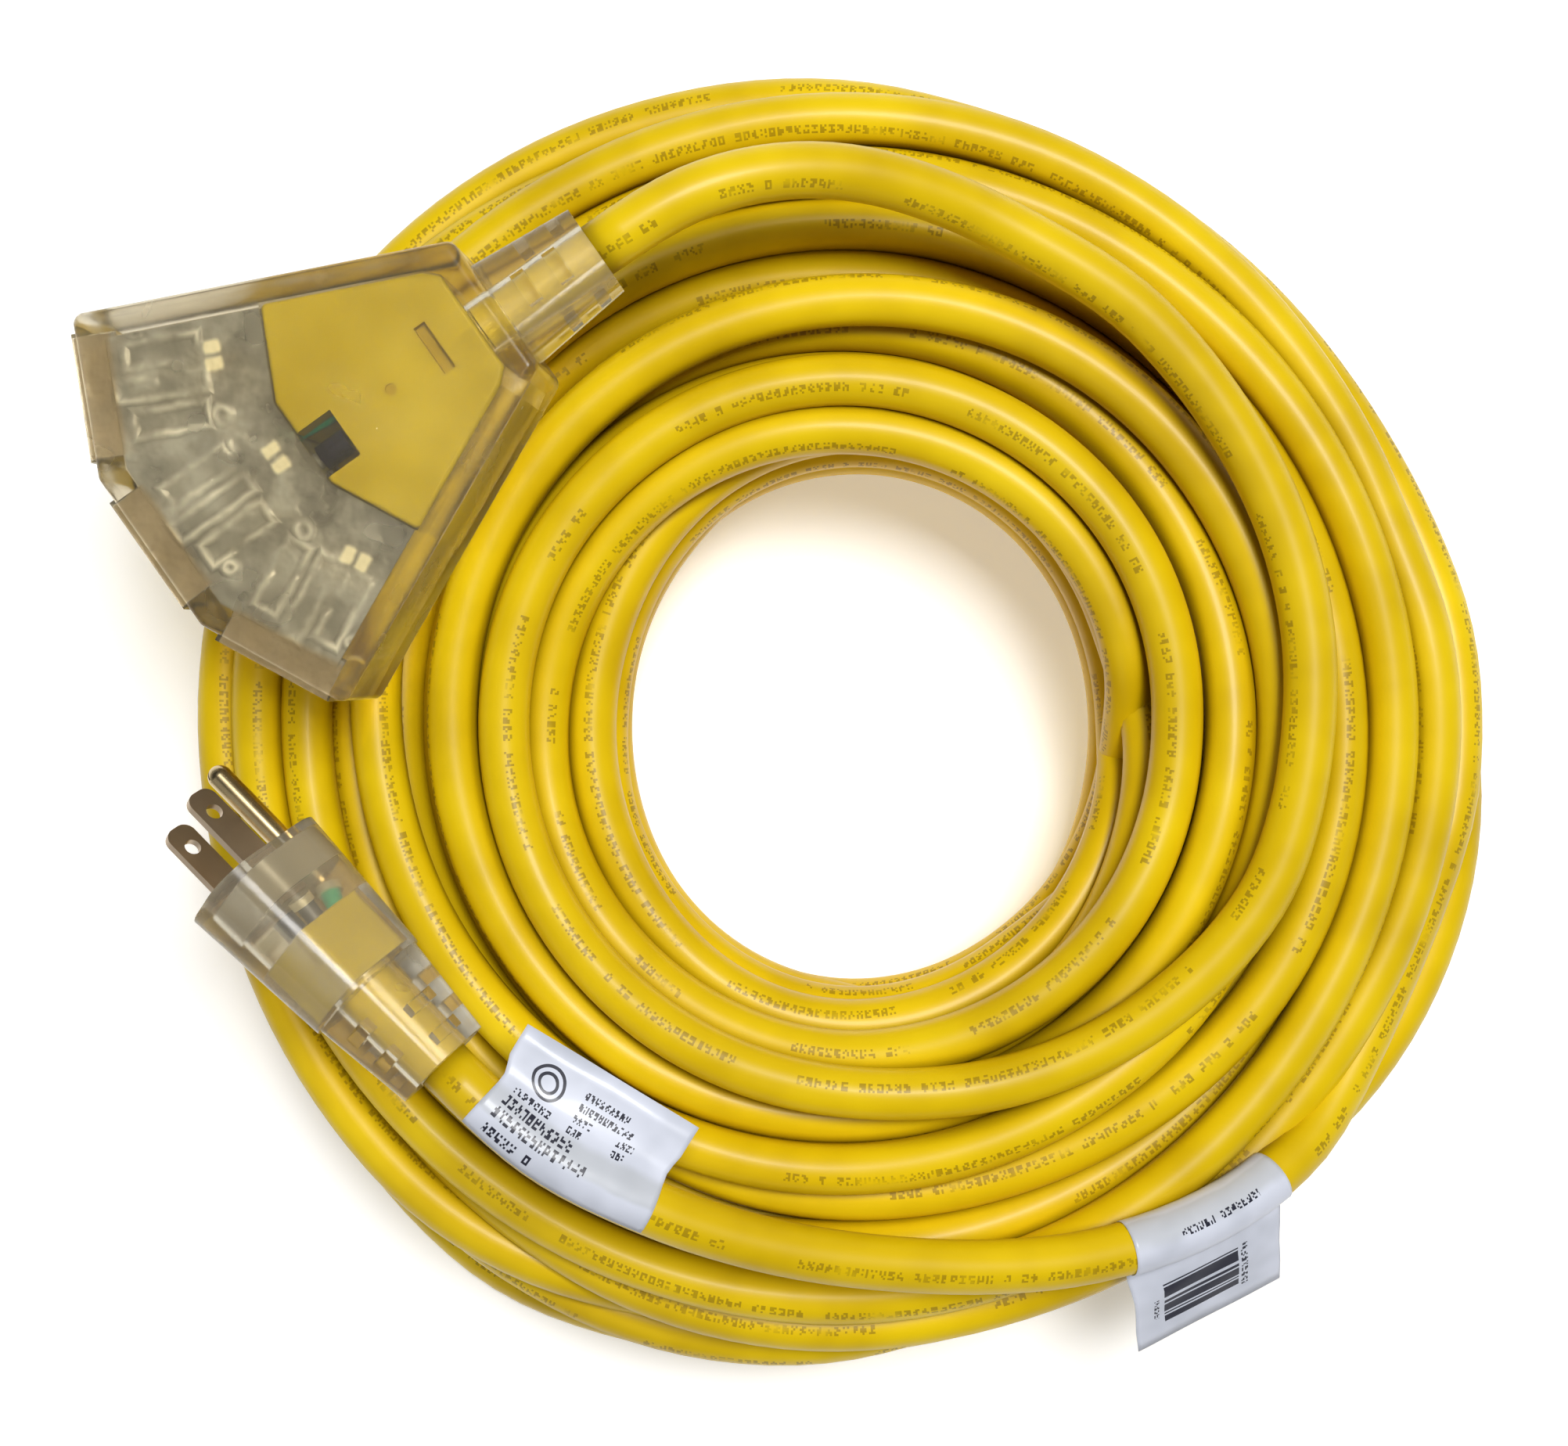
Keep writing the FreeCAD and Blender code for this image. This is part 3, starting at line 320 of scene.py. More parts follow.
def jacket_material():
    """Yellow vinyl jacket with generic marks as its legend, and painted shade in the gaps between the turns.
    """
    n = Nodes("cord_jacket")
    uv = n.add("UVMap", uv_map="along").outputs["UV"]
    along, around, _ = n.split(uv)
    place = n.object_space()
    cloud = n.noise(26.0, 3.0, 0.55, place)
    colour = n.ramp(cloud, (0.30, (0.64, 0.420, 0.0012)), (0.52, (0.80, 0.550, 0.0022)),
                    (0.75, (0.92, 0.660, 0.004)))
    across = n.math("MULTIPLY", n.math("SUBTRACT", around, 0.5), math.pi * CORD_D)
    marks = greeked(n, along, n.math("ADD", across, LEGEND_TALL / 2), LEGEND_PITCH, LEGEND_TALL)
    worn = n.ease(n.noise(120.0, 2.0, 0.5, place), 0.25, 0.5)
    ink = n.math("MULTIPLY", n.math("MULTIPLY", marks, worn), 0.62)
    colour = n.mix(ink, colour, (0.24, 0.14, 0.005))
    # Painted shade: the colour goes toward dark brown where ambient occlusion finds the jacket hemmed in by
    # neighbouring turns.
    open_air = n.add("AmbientOcclusion", {"Distance": 0.010}, samples=8).outputs["AO"]
    painted_crevice_shade = n.math("SUBTRACT", 1.0, n.ease(open_air, 0.15, 0.75))
    colour = n.mix(n.math("MULTIPLY", painted_crevice_shade, 0.55), colour, (0.20, 0.11, 0.001))
    n.set(Base_Color=colour, Roughness=0.40, Specular_IOR_Level=0.26, Coat_Weight=0.05, Coat_Roughness=0.15)
    fine = n.noise(900.0, 2.0, 0.6, place)
    wave = n.noise(55.0, 1.0, 0.5, place)
    height = n.math("ADD", n.math("MULTIPLY", fine, 0.05), n.math("MULTIPLY", wave, 0.9))
    height = n.math("SUBTRACT", height, n.math("MULTIPLY", marks, 0.25))
    n.bump(height, 0.25, 0.0004)
    return n.material


def clear_vinyl(name, cloudiness):
    """Warm grey clear vinyl; cloudiness is the share of its light that it scatters."""
    n = Nodes(name)
    place = n.object_space()
    rough = n.ramp(n.noise(70.0, 2.0, 0.5, place), (0.3, (0.12,) * 3), (0.7, (0.30,) * 3))
    tint = n.ramp(n.noise(35.0, 2.0, 0.5, place), (0.3, (0.64, 0.58, 0.44)), (0.7, (0.75, 0.70, 0.57)))
    streak = n.math("MULTIPLY", n.noise(60.0, 3.0, 0.6, place), 0.6)
    clear = n.math("SUBTRACT", 1.0, n.math("MULTIPLY", n.math("ADD", streak, 0.7), cloudiness))
    n.set(Base_Color=tint, Roughness=rough, IOR=1.22, Transmission_Weight=clear)
    n.set(Coat_Weight=0.18, Coat_Roughness=0.2)
    n.bump(n.noise(140.0, 2.0, 0.5, place), 0.10, 0.001)
    n.lets_light_in((0.86, 0.82, 0.72))
    return n.material


def box_distance(n, x, y, middle, half):
    """Distance to a rectangle's outline, below 0 inside it."""
    dx = n.math("SUBTRACT", n.math("ABSOLUTE", n.math("SUBTRACT", x, middle[0])), half[0])
    dy = n.math("SUBTRACT", n.math("ABSOLUTE", n.math("SUBTRACT", y, middle[1])), half[1])
    return n.math("MAXIMUM", dx, dy)


def ring_distance(n, x, y, middle, radius):
    """Distance to a ring, below 0 inside it."""
    dx, dy = n.math("SUBTRACT", x, middle[0]), n.math("SUBTRACT", y, middle[1])
    reach = n.math("SQRT", n.math("ADD", n.math("MULTIPLY", dx, dx), n.math("MULTIPLY", dy, dy)))
    return n.math("SUBTRACT", reach, radius)


def nearest_line(n, distances):
    """Distance to the nearest of several outlines."""
    near = n.math("ABSOLUTE", distances[0])
    for distance in distances[1:]:
        near = n.math("MINIMUM", near, n.math("ABSOLUTE", distance))
    return near


def chamber_lines(n, x, y):
    """Distance in mm to the ribs of one outlet's contact chambers, in the outlet's own frame."""
    ribs = [box_distance(n, x, y, middle, half) for middle, half in CHAMBER_RIBS]
    rings = [ring_distance(n, x, y, middle, radius) for middle, radius in CHAMBER_RINGS]
    return nearest_line(n, ribs + rings)


def carrier_material():
    """Milky clear plastic with the ribs, rings and chambers of the contact carrier showing in it: painted
    highlights along the ribs and rings, and painted shade inside the chambers.
    """
    n = Nodes("carrier")
    place = n.object_space()
    uneven = n.add("TexNoise", {"Vector": place, "Scale": 230.0, "Detail": 2.0}).outputs["Color"]
    sway = n.add("VectorMath", {0: uneven, 1: (-0.5,) * 3}, operation="ADD").outputs["Vector"]
    sway = n.add("VectorMath", {0: sway, "Scale": 1.1}, operation="SCALE").outputs["Vector"]
    in_tap = n.frame_space(place, TAP_FRAME[0], TAP_FRAME[1], MM)
    in_tap = n.add("VectorMath", {0: in_tap, 1: sway}, operation="ADD").outputs["Vector"]
    x, y, _ = n.split(in_tap)
    folded = n.add("CombineXYZ", {"X": x, "Y": n.math("ABSOLUTE", y)}).outputs["Vector"]
    lines, painted_chamber_shade, noses, spots = [], [], [], []
    outlets = ((in_tap, MIDDLE_OUTLET, MIDDLE_CRIMPS), (folded, SIDE_OUTLET, SIDE_CRIMPS))
    for space, (at_x, at_y, turn), crimps in outlets:
        own_x, own_y, _ = n.split(n.frame_space(space, (at_x, at_y, 0), (0, 0, turn)))
        lines.append(chamber_lines(n, own_x, own_y))
        room_y = n.between(own_y, -ROOMS_HALF, ROOMS_HALF)
        painted_chamber_shade.append(n.math("MULTIPLY", n.between(own_x, *ROOMS_X), room_y))
        for spot in crimps:
            square = box_distance(n, own_x, own_y, spot, CRIMP_HALF)
            spots.append(n.math("MAXIMUM", square, ring_distance(n, own_x, own_y, spot, CRIMP_REACH)))
        noses.append(n.math("MULTIPLY", n.ease(own_x, *NOSE_X), n.between(own_y, -NOSE_HALF, NOSE_HALF)))
    near = n.math("MINIMUM", *lines)
    strength = n.ease(n.noise(120.0, 2.0, 0.5, place), 0.30, 0.70)
    # Rib mask: it drives the bump, less see-through plastic, and painted highlights, which are near-white
    # lines along the ribs and rings.
    rib_and_painted_highlight = n.math("MULTIPLY", strength, n.math("SUBTRACT", 1.0, n.ease(near, 0.0, 1.3)))
    cloud = n.noise(110.0, 3.0, 0.6, place)
    tone = n.ramp(cloud, (0.36, (0.27, 0.275, 0.27)), (0.5, (0.41, 0.420, 0.430)), (0.62, (0.63, 0.66, 0.69)))
    # Painted shade: a greyer tone inside each outlet's contact chambers.
    tone = n.mix(n.math("MULTIPLY", n.any_of(*painted_chamber_shade), 0.30), tone, (0.44, 0.44, 0.42))
    tone = n.mix(n.math("MULTIPLY", rib_and_painted_highlight, 0.45), tone, (0.84, 0.86, 0.87))
    tone = n.mix(n.math("MULTIPLY", n.any_of(*noses), 0.85), tone, (0.43, 0.35, 0.22))
    crimp = n.any_of(*[n.math("SUBTRACT", 1.0, n.ease(spot, -0.7, 0.3)) for spot in spots])
    tone = n.mix(n.math("MULTIPLY", crimp, 0.85), tone, (0.86, 0.84, 0.68))
    see_through = n.math("SUBTRACT", 0.60, n.math("MULTIPLY", n.any_of(crimp, rib_and_painted_highlight), 0.5))
    n.set(Base_Color=tone, Roughness=0.22, IOR=1.40, Transmission_Weight=see_through)
    n.set(Coat_Weight=0.2, Coat_Roughness=0.1)
    height = n.math("ADD", n.math("MULTIPLY", rib_and_painted_highlight, 0.8), n.math("MULTIPLY", cloud, 1.2))
    n.bump(height, 0.9, 0.0012)
    n.lets_light_in((0.75, 0.75, 0.72))
    return n.material


def inner_mould_material():
    """Yellow moulding, with painted shade in and round its key slot and gate mark."""
    n = Nodes("inner_mould")
    place = n.object_space()
    x, y, _ = n.split(n.frame_space(place, TAP_FRAME[0], TAP_FRAME[1], MM))
    slot = box_distance(n, x, y, KEY_SLOT[:2], KEY_SLOT[2:])
    gate = ring_distance(n, x, y, GATE_MARK[:2], GATE_MARK[2])
    # Painted shade: darker brown inside and round the key slot and gate mark, standing in for the shade of
    # these recesses.
    painted_recess_shade = n.math("SUBTRACT", 1.0, n.ease(n.math("MINIMUM", slot, gate), -0.2, 0.6))
    tone = n.ramp(n.noise(80.0, 3.0, 0.5, place), (0.3, (0.42, 0.330, 0.001)), (0.7, (0.50, 0.400, 0.002)))
    tone = n.mix(n.math("MULTIPLY", painted_recess_shade, 0.55), tone, (0.30, 0.19, 0.004))
    n.set(Base_Color=tone, Roughness=0.42, Specular_IOR_Level=0.2)
    n.bump(n.noise(300.0, 2.0, 0.5, place), 0.08, 0.0004)
    return n.material


def plain(name, colour, roughness=0.4, metallic=0.0, **more):
    """Simple moulded or metal finish with fine grain and a little colour variation."""
    n = Nodes(name)
    place = n.object_space()
    dark = tuple(c * 0.82 for c in colour)
    tone = n.ramp(n.noise(90.0, 3.0, 0.5, place), (0.3, dark), (0.7, colour))
    n.set(Base_Color=tone, Roughness=roughness, Metallic=metallic, **more)
    n.bump(n.noise(400.0, 2.0, 0.5, place), 0.05, 0.0003)
    return n.material


def label_material(name, printing):
    """Cool white label film with creases and a painted dark reflection in a band along it; printing(nodes, u,
    v) gives the mask of its ink.
    """
    n = Nodes(name)
    u, v, _ = n.split(n.add("UVMap", uv_map="sheet").outputs["UV"])
    place = n.object_space()
    crumple = n.noise(75.0, 2.0, 0.55, place)
    film = n.ramp(crumple, (0.3, (0.58, 0.61, 0.69)), (0.6, (0.72, 0.75, 0.85)))
    wavy = n.math("ADD", v, n.math("MULTIPLY", crumple, 0.004))
    # Painted reflection: a greyer band along the sheet, where the sloping film would reflect the dim
    # surroundings.
    painted_reflection_band = n.math("SUBTRACT", n.ease(wavy, 0.0072, 0.0082), n.ease(wavy, 0.0120, 0.0145))
    film = n.mix(n.math("MULTIPLY", painted_reflection_band, 0.55), film, (0.47, 0.49, 0.50))
    n.set(Base_Color=n.mix(printing(n, u, v), film, (0.012, 0.013, 0.03)), Roughness=0.42)
    n.set(Specular_IOR_Level=0.35, Coat_Weight=0.15, Coat_Roughness=0.12)
    n.bump(crumple, 0.40, 0.0012)
    return n.material


def print_row(n, u, v, start, end, base, tall, pitch, seed):
    """One greeked row of print between two places on a label."""
    marks = greeked(n, u, n.math("SUBTRACT", v, base), pitch, tall, seed, 5.0)
    return n.math("MULTIPLY", marks, n.between(u, start, end))


def rating_print(n, u, v):
    """Rows of greeked print and a double ring."""
    rows = [print_row(n, u, v, 0.0035, 0.0185, 0.0020, 0.0021, 0.0016, 11.0)]
    for i, (end, base) in enumerate(((0.0235, 0.0056), (0.0225, 0.0086))):
        rows.append(print_row(n, u, v, 0.0030, end, base, 0.0023, 0.0015, 37.0 + 40 * i))
    rows.append(print_row(n, u, v, 0.0035, 0.0125, 0.0118, 0.0016, 0.0014, 131.0))
    for i in range(4):
        end, base = 0.0290 + 0.001 * (i % 2), 0.0118 + 0.0024 * i
        rows.append(print_row(n, u, v, 0.0165, end, base, 0.0015, 0.0011, 171.0 + 40 * i))
    middle = (0.0090, 0.0180)
    for radius in (0.0033, 0.0019):
        edge = n.math("ABSOLUTE", ring_distance(n, u, v, middle, radius))
        rows.append(n.math("LESS_THAN", edge, 0.00032))
    return n.any_of(*rows)


def barcode_print(n, u, v):
    """Stripes with rows of greeked digits beside them."""
    stripe = n.math("GREATER_THAN", n.chance(n.math("FLOOR", n.math("DIVIDE", v, 0.00042))), 0.45)
    stripes = n.all_of(stripe, n.between(u, 0.0070, 0.0255), n.between(v, 0.0285, 0.0415))
    digits = print_row(n, v, u, 0.0290, 0.0410, 0.0262, 0.0016, 0.0015, 17.0)
    small = print_row(n, v, u, 0.0330, 0.0385, 0.0045, 0.0012, 0.0012, 57.0)
    length = print_row(n, u, v, 0.0100, 0.0290, 0.0100, 0.0016, 0.0013, 97.0)
    return n.any_of(stripes, digits, small, length)


# --- the coil's path ------------------------------------------------------------------------------

def coil_places(azimuth):
    """Radii at each azimuth and heights of the turns' places: up one column and down the next.

    Every other column starts half a diameter higher, so that its turns lie between their neighbours.
    """
    places = []
    for i, (count, radii) in enumerate(COLUMNS):
        radius = four_way(radii, azimuth)
        foot = CORD_D * (1.1 if i in (0, len(COLUMNS) - 1) else 0.5 + 0.5 * (i % 2))
        column = [(radius, foot + j * CORD_D) for j in range(count)]
        places += column if i % 2 else column[::-1]
    return np.array([radius for radius, _ in places]), np.array([height for _, height in places])


def coil_guess():
    """First places of the coil's points, and how firmly each point's radius and height are held."""
    start = math.degrees(math.atan2(TAP_ROUTE[0][1], TAP_ROUTE[0][0]))
    total = TURNS * 360
    travelled = np.arange(int(total / 360 * STEPS) + 1) * (360 / STEPS)
    before_plug = total - travelled
    azimuth = np.radians(start - travelled)
    radii, heights = coil_places(azimuth)
    first, last = TOP_TURN[-1][0], total - LAST_TURN[-1][0]
    slot = np.clip((travelled - first) / (last - first), 0, 1) * (len(heights) - 1.001)
    whole = np.floor(slot).astype(int)
    part = smooth(np.clip((slot - whole) / JOG, 0, 1))
    point = np.arange(len(travelled))
    r = radii[whole, point] * (1 - part) + radii[whole + 1, point] * part
    z = heights[whole] * (1 - part) + heights[whole + 1] * part
    for size, wave in WANDER:
        r += size * np.sin(2 * math.pi * travelled / wave)
    inner = four_way(HOLE_RADIUS, azimuth)
    r += bulge(azimuth) * np.clip((r - inner) / (four_way(OUTER_RADIUS, azimuth) - inner), 0, 1)
    on_top = travelled <= first
    outermost = before_plug <= LAST_TURN[-1][0]
    r[on_top] = look_up(TOP_TURN, travelled[on_top])
    z[on_top] = TOP_TURN_Z + (TOP_TURN_END_Z - TOP_TURN_Z) * smooth(travelled[on_top] / first)
    r[outermost] = look_up(LAST_TURN, before_plug[outermost])
    z[outermost] = look_up(LAST_TURN, before_plug[outermost], 2)
    hold_r = np.clip((first + TOP_LET_GO - travelled) / TOP_LET_GO, 0, 1)
    hold_r = np.maximum(hold_r, look_up(LAST_TURN, before_plug, 3))
    hold_z = np.clip((TOP_Z_HELD + TOP_Z_FADE - travelled) / TOP_Z_FADE, 0, 1)
    hold_z = np.maximum(hold_z, look_up(LAST_TURN, before_plug, 4))
    return azimuth, r, z, hold_r, hold_z


def in_planes(values, blank):
    """The coil's points as turns by steps, the last turn filled up with a blank value."""
    turns = math.ceil(len(values) / STEPS)
    spare = turns * STEPS - len(values)
    return np.concatenate([values, np.full(spare, blank)]).reshape(turns, STEPS)


def push_apart(r, z):
    """Moves of points that are closer than one diameter to another in their own plane."""
    rp, zp = in_planes(r, 9.0), in_planes(z, 9.0)
    dr, dz = rp[:, None] - rp[None], zp[:, None] - zp[None]
    gap = np.hypot(dr, dz) + 1e-9
    near = np.clip(CORD_D - gap, 0, None)
    near[range(len(rp)), range(len(rp))] = 0
    share = PUSH_SHARE * near / gap
    return (share * dr).sum(1).ravel()[:len(r)], (share * dz).sum(1).ravel()[:len(r)]


def keep_in_section(azimuth, r, z):
    """Places moved inside the rounded section that the coil fills."""
    inner, outer = four_way(HOLE_RADIUS, azimuth), four_way(OUTER_RADIUS, azimuth) + bulge(azimuth)
    middle, half = (inner + outer) / 2, (outer - inner) / 2 - CORD_D / 2
    tall = np.where(z > BELLY_Z, CROWN_Z - CORD_D / 2 - BELLY_Z, BELLY_Z + 0.001)
    x, y = (r - middle) / half, (z - BELLY_Z) / tall
    size = (np.abs(x) ** ROUNDING + np.abs(y) ** ROUNDING) ** (1 / ROUNDING)
    shrink = 1 / np.maximum(size, 1)
    return middle + x * shrink * half, BELLY_Z + y * shrink * tall


def settle_coil():
    """The coil's points after the turns have pressed each other apart and down."""
    azimuth, r0, z0, hold_r, hold_z = coil_guess()
    r, z = r0.copy(), z0.copy()
    free = 1 - np.maximum(hold_r, hold_z)
    for step in range(SETTLING_ROUNDS):
        push_r, push_z = push_apart(r, z)
        r += push_r
        z += push_z - SINK * (1 - step / SETTLING_ROUNDS)
        for values in (r, z):
            values[1:-1] += EVEN_OUT * (0.5 * (values[:-2] + values[2:]) - values[1:-1])
        inside_r, inside_z = keep_in_section(azimuth, r, z)
        r += free * (inside_r - r)
        z = np.maximum(z + free * (inside_z - z), CORD_D / 2)
        r += hold_r * (r0 - r)
        z += hold_z * (z0 - z)
    return azimuth, r, z


def turned(a, b):
    """Degrees round the coil from one point to another."""
    return math.degrees(math.atan2(b[1], b[0]) - math.atan2(a[1], a[0]))


def cord_points():
    """Control points of the whole cord: the tap's route, the coil's turns, and the plug's route."""
    azimuth, r, z = settle_coil()
    coil = np.stack([r * np.cos(azimuth), r * np.sin(azimuth), z], axis=1)
    first = math.ceil(turned(TAP_ROUTE[-1], TAP_ROUTE[0]) / (360 / STEPS)) + 1
    last = len(coil) - math.ceil(turned(PLUG_ROUTE[0], PLUG_ROUTE[-1]) / (360 / STEPS)) - 1
    return [Vector(p) for p in TAP_ROUTE + [tuple(p) for p in coil[first:last]] + PLUG_ROUTE[::-1]]


def spline_line(points):
    """Points along the NURBS curve that has these control points."""
    curve = bpy.data.curves.new("cord_line", "CURVE")
    curve.dimensions = "3D"
    curve.resolution_u = 4
    spline = curve.splines.new("NURBS")
    spline.points.add(len(points) - 1)
    for target, point in zip(spline.points, points):
        target.co = (*point, 1.0)
    spline.order_u = 3
    spline.use_endpoint_u = True
    holder = bpy.data.objects.new("cord_line", curve)
    bpy.context.scene.collection.objects.link(holder)
    mesh = bpy.data.meshes.new_from_object(holder.evaluated_get(bpy.context.evaluated_depsgraph_get()))
    line = [v.co.copy() for v in mesh.vertices]
    bpy.data.objects.remove(holder)
    bpy.data.meshes.remove(mesh)
    return line


def frames_along(line):
    """Distance, direction, left side and upper side at each point of a line that never stands upright."""
    tangent = np.gradient(line, axis=0)
    tangent /= np.linalg.norm(tangent, axis=1)[:, None]
    steps = np.linalg.norm(np.diff(line, axis=0), axis=1)
    distance = np.concatenate([[0], np.cumsum(steps)])
    left = np.cross((0.0, 0.0, 1.0), tangent)
    left /= np.linalg.norm(left, axis=1)[:, None]
    return distance, tangent, left, np.cross(tangent, left)


def lay_of_cord(distance):
    """Turn of the cord about its own middle, which decides where its legend faces."""
    slow, middle = 0.75 * np.sin(distance * 2.3), 0.55 * np.sin(distance * 5.9 + 1.0)
    return slow + middle + 0.25 * np.sin(distance * 13.0)


def tube_mesh(name, line, diameter, sides=16):
    """Round tube along a line, with a UV map of distance along and share around."""
    line = np.array(line)
    distance, _, left, up = frames_along(line)
    share = np.arange(sides) / sides
    angle = 2 * math.pi * share[None] - math.pi / 2 + lay_of_cord(distance)[:, None]
    ridge = np.cos(CONDUCTORS * 2 * math.pi * share[None] - 2 * math.pi * distance[:, None] / LAY_LENGTH)
    radius = (diameter / 2 * (1 - LAY_RIDGE + LAY_RIDGE * ridge))[..., None]
    sideways, upward = np.cos(angle)[..., None] * left[:, None], np.sin(angle)[..., None] * up[:, None]
    ring = line[:, None] + radius * (sideways + upward)
    rings = len(line)
    corner = np.arange(rings * sides).reshape(rings, sides)
    after = np.roll(corner, -1, axis=1)
    faces = np.stack([corner[:-1], corner[1:], after[1:], after[:-1]], axis=-1).reshape(-1, 4)
    ends = [corner[0].tolist(), corner[-1][::-1].tolist()]
    mesh = bpy.data.meshes.new(name)
    mesh.from_pydata(ring.reshape(-1, 3).tolist(), [], faces.tolist() + ends)
    u = np.broadcast_to(distance[:-1, None], (rings - 1, sides))
    u_next = np.broadcast_to(distance[1:, None], (rings - 1, sides))
    v = np.broadcast_to(share, (rings - 1, sides))
    v_next = v + 1 / sides
    uv = np.stack([u, v, u_next, v, u_next, v_next, u, v_next], axis=-1).reshape(-1)
    layer = mesh.uv_layers.new(name="along")
    layer.data.foreach_set("uv", np.concatenate([uv, np.zeros(4 * sides)]).astype(np.float32))
    mesh.polygons.foreach_set("use_smooth", [True] * len(mesh.polygons))
    mesh.update()
    return mesh


def build_cord(material, line):
    """The whole cord as one tube, in place of the coil's and the leads' plain solids."""
    cord = new_object("cord", tube_mesh("cord", line, CORD_D), material)
    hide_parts("cord_coil", "tap_lead", "plug_lead")
    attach(cord, BODY)


# --- labels ---------------------------------------------------------------------------------------

def barcode_shape():
    """Barcode label across the cord: over the cord's top, round its outer side, then out as a flag."""
    low, high = BARCODE_WRAP
    turns = [math.radians(low + (high - low) * i / WRAP_STEPS) for i in range(WRAP_STEPS + 1)]
    wrap = [(WRAP_R * math.cos(a), WRAP_R * math.sin(a)) for a in turns]
    foot, tip = wrap[-1], BARCODE_FLAG
    shares = [i / FLAG_STEPS for i in range(1, FLAG_STEPS + 1)]
    flag = [(foot[0] + (tip[0] - foot[0]) * part, foot[1] + (tip[1] - foot[1]) * part) for part in shares]
    return wrap + flag


def label_mesh(name, line, middle, long, shape):
    """Thin sheet stuck to a lead, with a given shape across it.

    It bends with the lead close to it, and is straight further out.
    """
    line = np.array(line)
    distance, tangent, left, up = frames_along(line)

    def along(values, at):
        return Vector([np.interp(at, distance, values[:, k]) for k in range(3)])

    shape = np.array(shape)
    runs = np.linalg.norm(np.diff(shape, axis=0), axis=1)
    across = np.concatenate([[0], np.cumsum(runs)])
    bm = bmesh.new()
    sheet = bm.loops.layers.uv.new("sheet")
    rows = []
    for i in range(SHEET_STEPS + 1):
        u = long * i / SHEET_STEPS
        at = middle - long / 2 + u
        straight = along(line, middle) + along(tangent, middle) * (at - middle)
        row = []
        for (side, high), v in zip(shape, across):
            free = smooth(min(1.0, max(0.0, (math.hypot(side, high) - WRAP_R) / FREE_OVER)))
            high += CREASE * (0.12 + 0.88 * free) * math.sin(v * 520 + u * 90) * math.cos(u * 170 + v * 60)
            bent = along(line, at) + along(left, at) * side + along(up, at) * high
            flat = straight + along(left, middle) * side + along(up, middle) * high
            row.append((bm.verts.new(bent.lerp(flat, free)), u, v))
        rows.append(row)
    for row, after in zip(rows, rows[1:]):
        for a, b, c, d in zip(row, row[1:], after[1:], after):
            face = bm.faces.new([corner[0] for corner in (a, d, c, b)])
            face.smooth = True
            for loop, corner in zip(face.loops, (a, d, c, b)):
                loop[sheet].uv = corner[1:]
    bmesh.ops.recalc_face_normals(bm, faces=bm.faces)
    bmesh.ops.solidify(bm, geom=bm.faces[:], thickness=SHEET_THICK)
    mesh = bpy.data.meshes.new(name)
    bm.to_mesh(mesh)
    bm.free()
    return mesh


def build_labels(line):
    """The two labels on the plug's lead. The line runs from the tap, so it is turned round here."""
    from_plug = line[::-1]
    looks = (
        ("rating_sheet", "rating_label", RATING_AT, RATING_LONG, RATING_SHAPE, rating_print),
        ("barcode_sheet", "barcode_label", BARCODE_AT, BARCODE_LONG, barcode_shape(), barcode_print),
    )
    for name, replaced, middle, long, shape, printing in looks:
        mesh = label_mesh(name, from_plug, middle, long, shape)
        label = new_object(name, mesh, label_material(name, printing))
        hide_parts(replaced)
        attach(label, BODY)
    return [look[0] for look in looks]


# --- stage ----------------------------------------------------------------------------------------

def build_camera():
    data = bpy.data.cameras.new("camera")
    data.lens = LENS_MM
    data.sensor_width = SENSOR_MM
    camera = bpy.data.objects.new("camera", data)
    camera.location = CAMERA_AT
    bpy.context.scene.collection.objects.link(camera)
    bpy.context.scene.camera = camera


def area_light(name, at, size, power):
    data = bpy.data.lights.new(name, "AREA")
    data.size = size
    data.energy = power
    light = bpy.data.objects.new(name, data)
    light.location = at
    light.rotation_euler = (Vector(LAMPS_AIM) - Vector(at)).to_track_quat("-Z", "Y").to_euler()
    bpy.context.scene.collection.objects.link(light)


def build_backdrop():
    """World that is pale low down all round, like a studio's backdrop, and dim overhead."""
    world = bpy.data.worlds.new("studio")
    bpy.context.scene.world = world
    world.use_nodes = True
    tree = world.node_tree
    direction = tree.nodes.new("ShaderNodeTexCoord")
    split = tree.nodes.new("ShaderNodeSeparateXYZ")
    height = tree.nodes.new("ShaderNodeMapRange")
    height.inputs["From Min"].default_value = BACKDROP_SINE[0]
    height.inputs["From Max"].default_value = BACKDROP_SINE[1]
    height.inputs["To Min"].default_value = BACKDROP
    height.inputs["To Max"].default_value = OVERHEAD
    tree.links.new(direction.outputs["Generated"], split.inputs["Vector"])
    tree.links.new(split.outputs["Z"], height.inputs["Value"])
    tree.links.new(height.outputs["Result"], tree.nodes["Background"].inputs["Strength"])
    tree.nodes["Background"].inputs["Color"].default_value = (1, 1, 1, 1)


def build_stage():
    """Pale floor and soft studio light."""
    mesh = bpy.data.meshes.new("floor")
    reach = FLOOR_REACH
    corners = [(-reach, -reach, 0), (reach, -reach, 0), (reach, reach, 0), (-reach, reach, 0)]
    mesh.from_pydata(corners, [], [range(4)])
    n = Nodes("floor")
    n.set(Base_Color=(0.95, 0.95, 0.95, 1), Roughness=0.8)
    n.set(Emission_Color=(1, 1, 1, 1), Emission_Strength=FLOOR_GLOW)
    floor = new_object("floor", mesh, n.material)
    for name, (at, size, power) in LAMPS.items():
        area_light(name, at, size, power)
    build_backdrop()
    bpy.context.scene.view_settings.view_transform = "Standard"


# --- making it all --------------------------------------------------------------------------------

def paint(material, *names):
    """Gives CAD nodes their material."""
    for name in names:
        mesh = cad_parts[name].data
        mesh.materials.clear()
        mesh.materials.append(material)


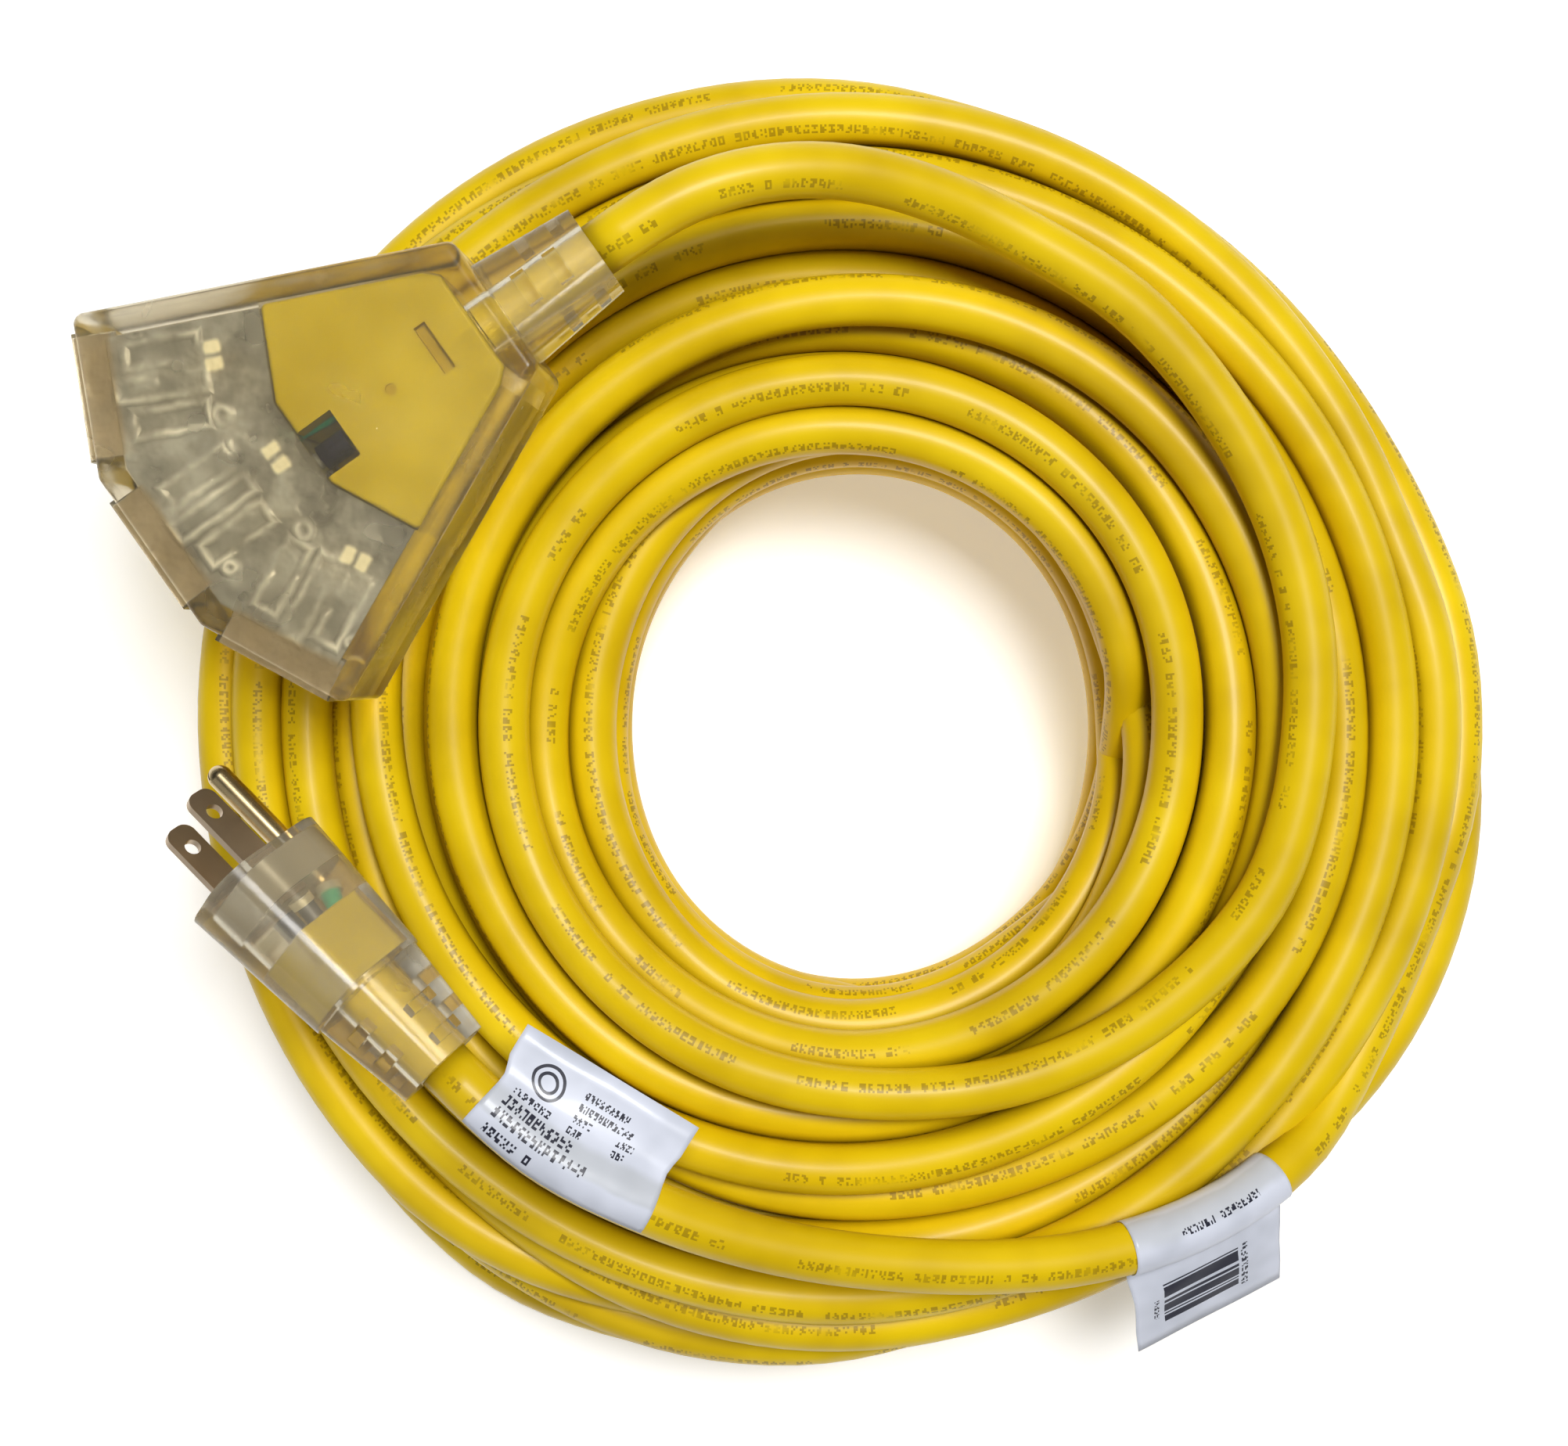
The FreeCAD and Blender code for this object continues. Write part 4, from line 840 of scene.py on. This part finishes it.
def paint_cad():
    paint(clear_vinyl("tap_vinyl", 0.04), "tap_outer_mould")
    paint(clear_vinyl("plug_vinyl", 0.12), "plug_outer_mould")
    paint(clear_vinyl("sleeve_vinyl", 0.08), "tap_strain_relief", "plug_strain_relief")
    paint(inner_mould_material(), "tap_inner_mould", "plug_inner_mould")
    paint(carrier_material(), "carrier_base", "carrier_cover")
    paint(plain("bridge", (0.60, 0.56, 0.47), 0.30, Transmission_Weight=0.7), "plug_bridge")
    leaves = [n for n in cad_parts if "_leaf_" in n]
    paint(plain("brass", (0.72, 0.55, 0.28), 0.26, 1.0), "line_bus", "neutral_bus", "ground_bus", *leaves)
    paint(plain("pin_metal", (0.70, 0.55, 0.30), 0.26, 1.0), "ground_pin")
    paint(plain("crimp_tin", (0.85, 0.82, 0.68), 0.30, 0.7), "tap_crimps", "plug_crimps")
    paint(plain("blade_metal", (0.60, 0.47, 0.33), 0.38, 1.0), "line_blade", "neutral_blade")
    paint(plain("wire_black", (0.006, 0.008, 0.024), 0.4), "tap_black_wire", "plug_black_wire")
    paint(plain("wire_white", (0.75, 0.75, 0.70), 0.4), "tap_white_wire", "plug_white_wire")
    paint(plain("wire_green", (0.02, 0.36, 0.22), 0.4), "tap_green_wire", "plug_green_wire")
    paint(plain("lamp", (0.006, 0.008, 0.035), 0.2), "tap_lamp", "plug_lamp")
    paint(plain("resistor", (0.20, 0.21, 0.21), 0.5), "tap_resistor")
    paint(plain("lead_wire", (0.7, 0.7, 0.68), 0.3, 1.0), "tap_lamp_leads")
    paint(plain("jacket_end", (0.52, 0.40, 0.004), 0.45), "tap_jacket_end", "plug_jacket_end")


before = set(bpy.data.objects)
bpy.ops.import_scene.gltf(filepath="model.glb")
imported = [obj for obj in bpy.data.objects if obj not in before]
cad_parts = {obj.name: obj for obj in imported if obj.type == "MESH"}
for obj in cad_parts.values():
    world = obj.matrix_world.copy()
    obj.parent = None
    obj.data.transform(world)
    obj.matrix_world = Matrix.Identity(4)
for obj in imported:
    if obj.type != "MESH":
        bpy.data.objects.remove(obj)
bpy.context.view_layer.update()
build_camera()
build_stage()
cord_line = spline_line(cord_points())
labels = build_labels(cord_line)
on_cord = [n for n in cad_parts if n.startswith("plug_") and n != "plug_lead"]
on_cord += ["line_blade", "neutral_blade", "ground_pin"]
build_cord(jacket_material(), cord_line)
paint_cad()
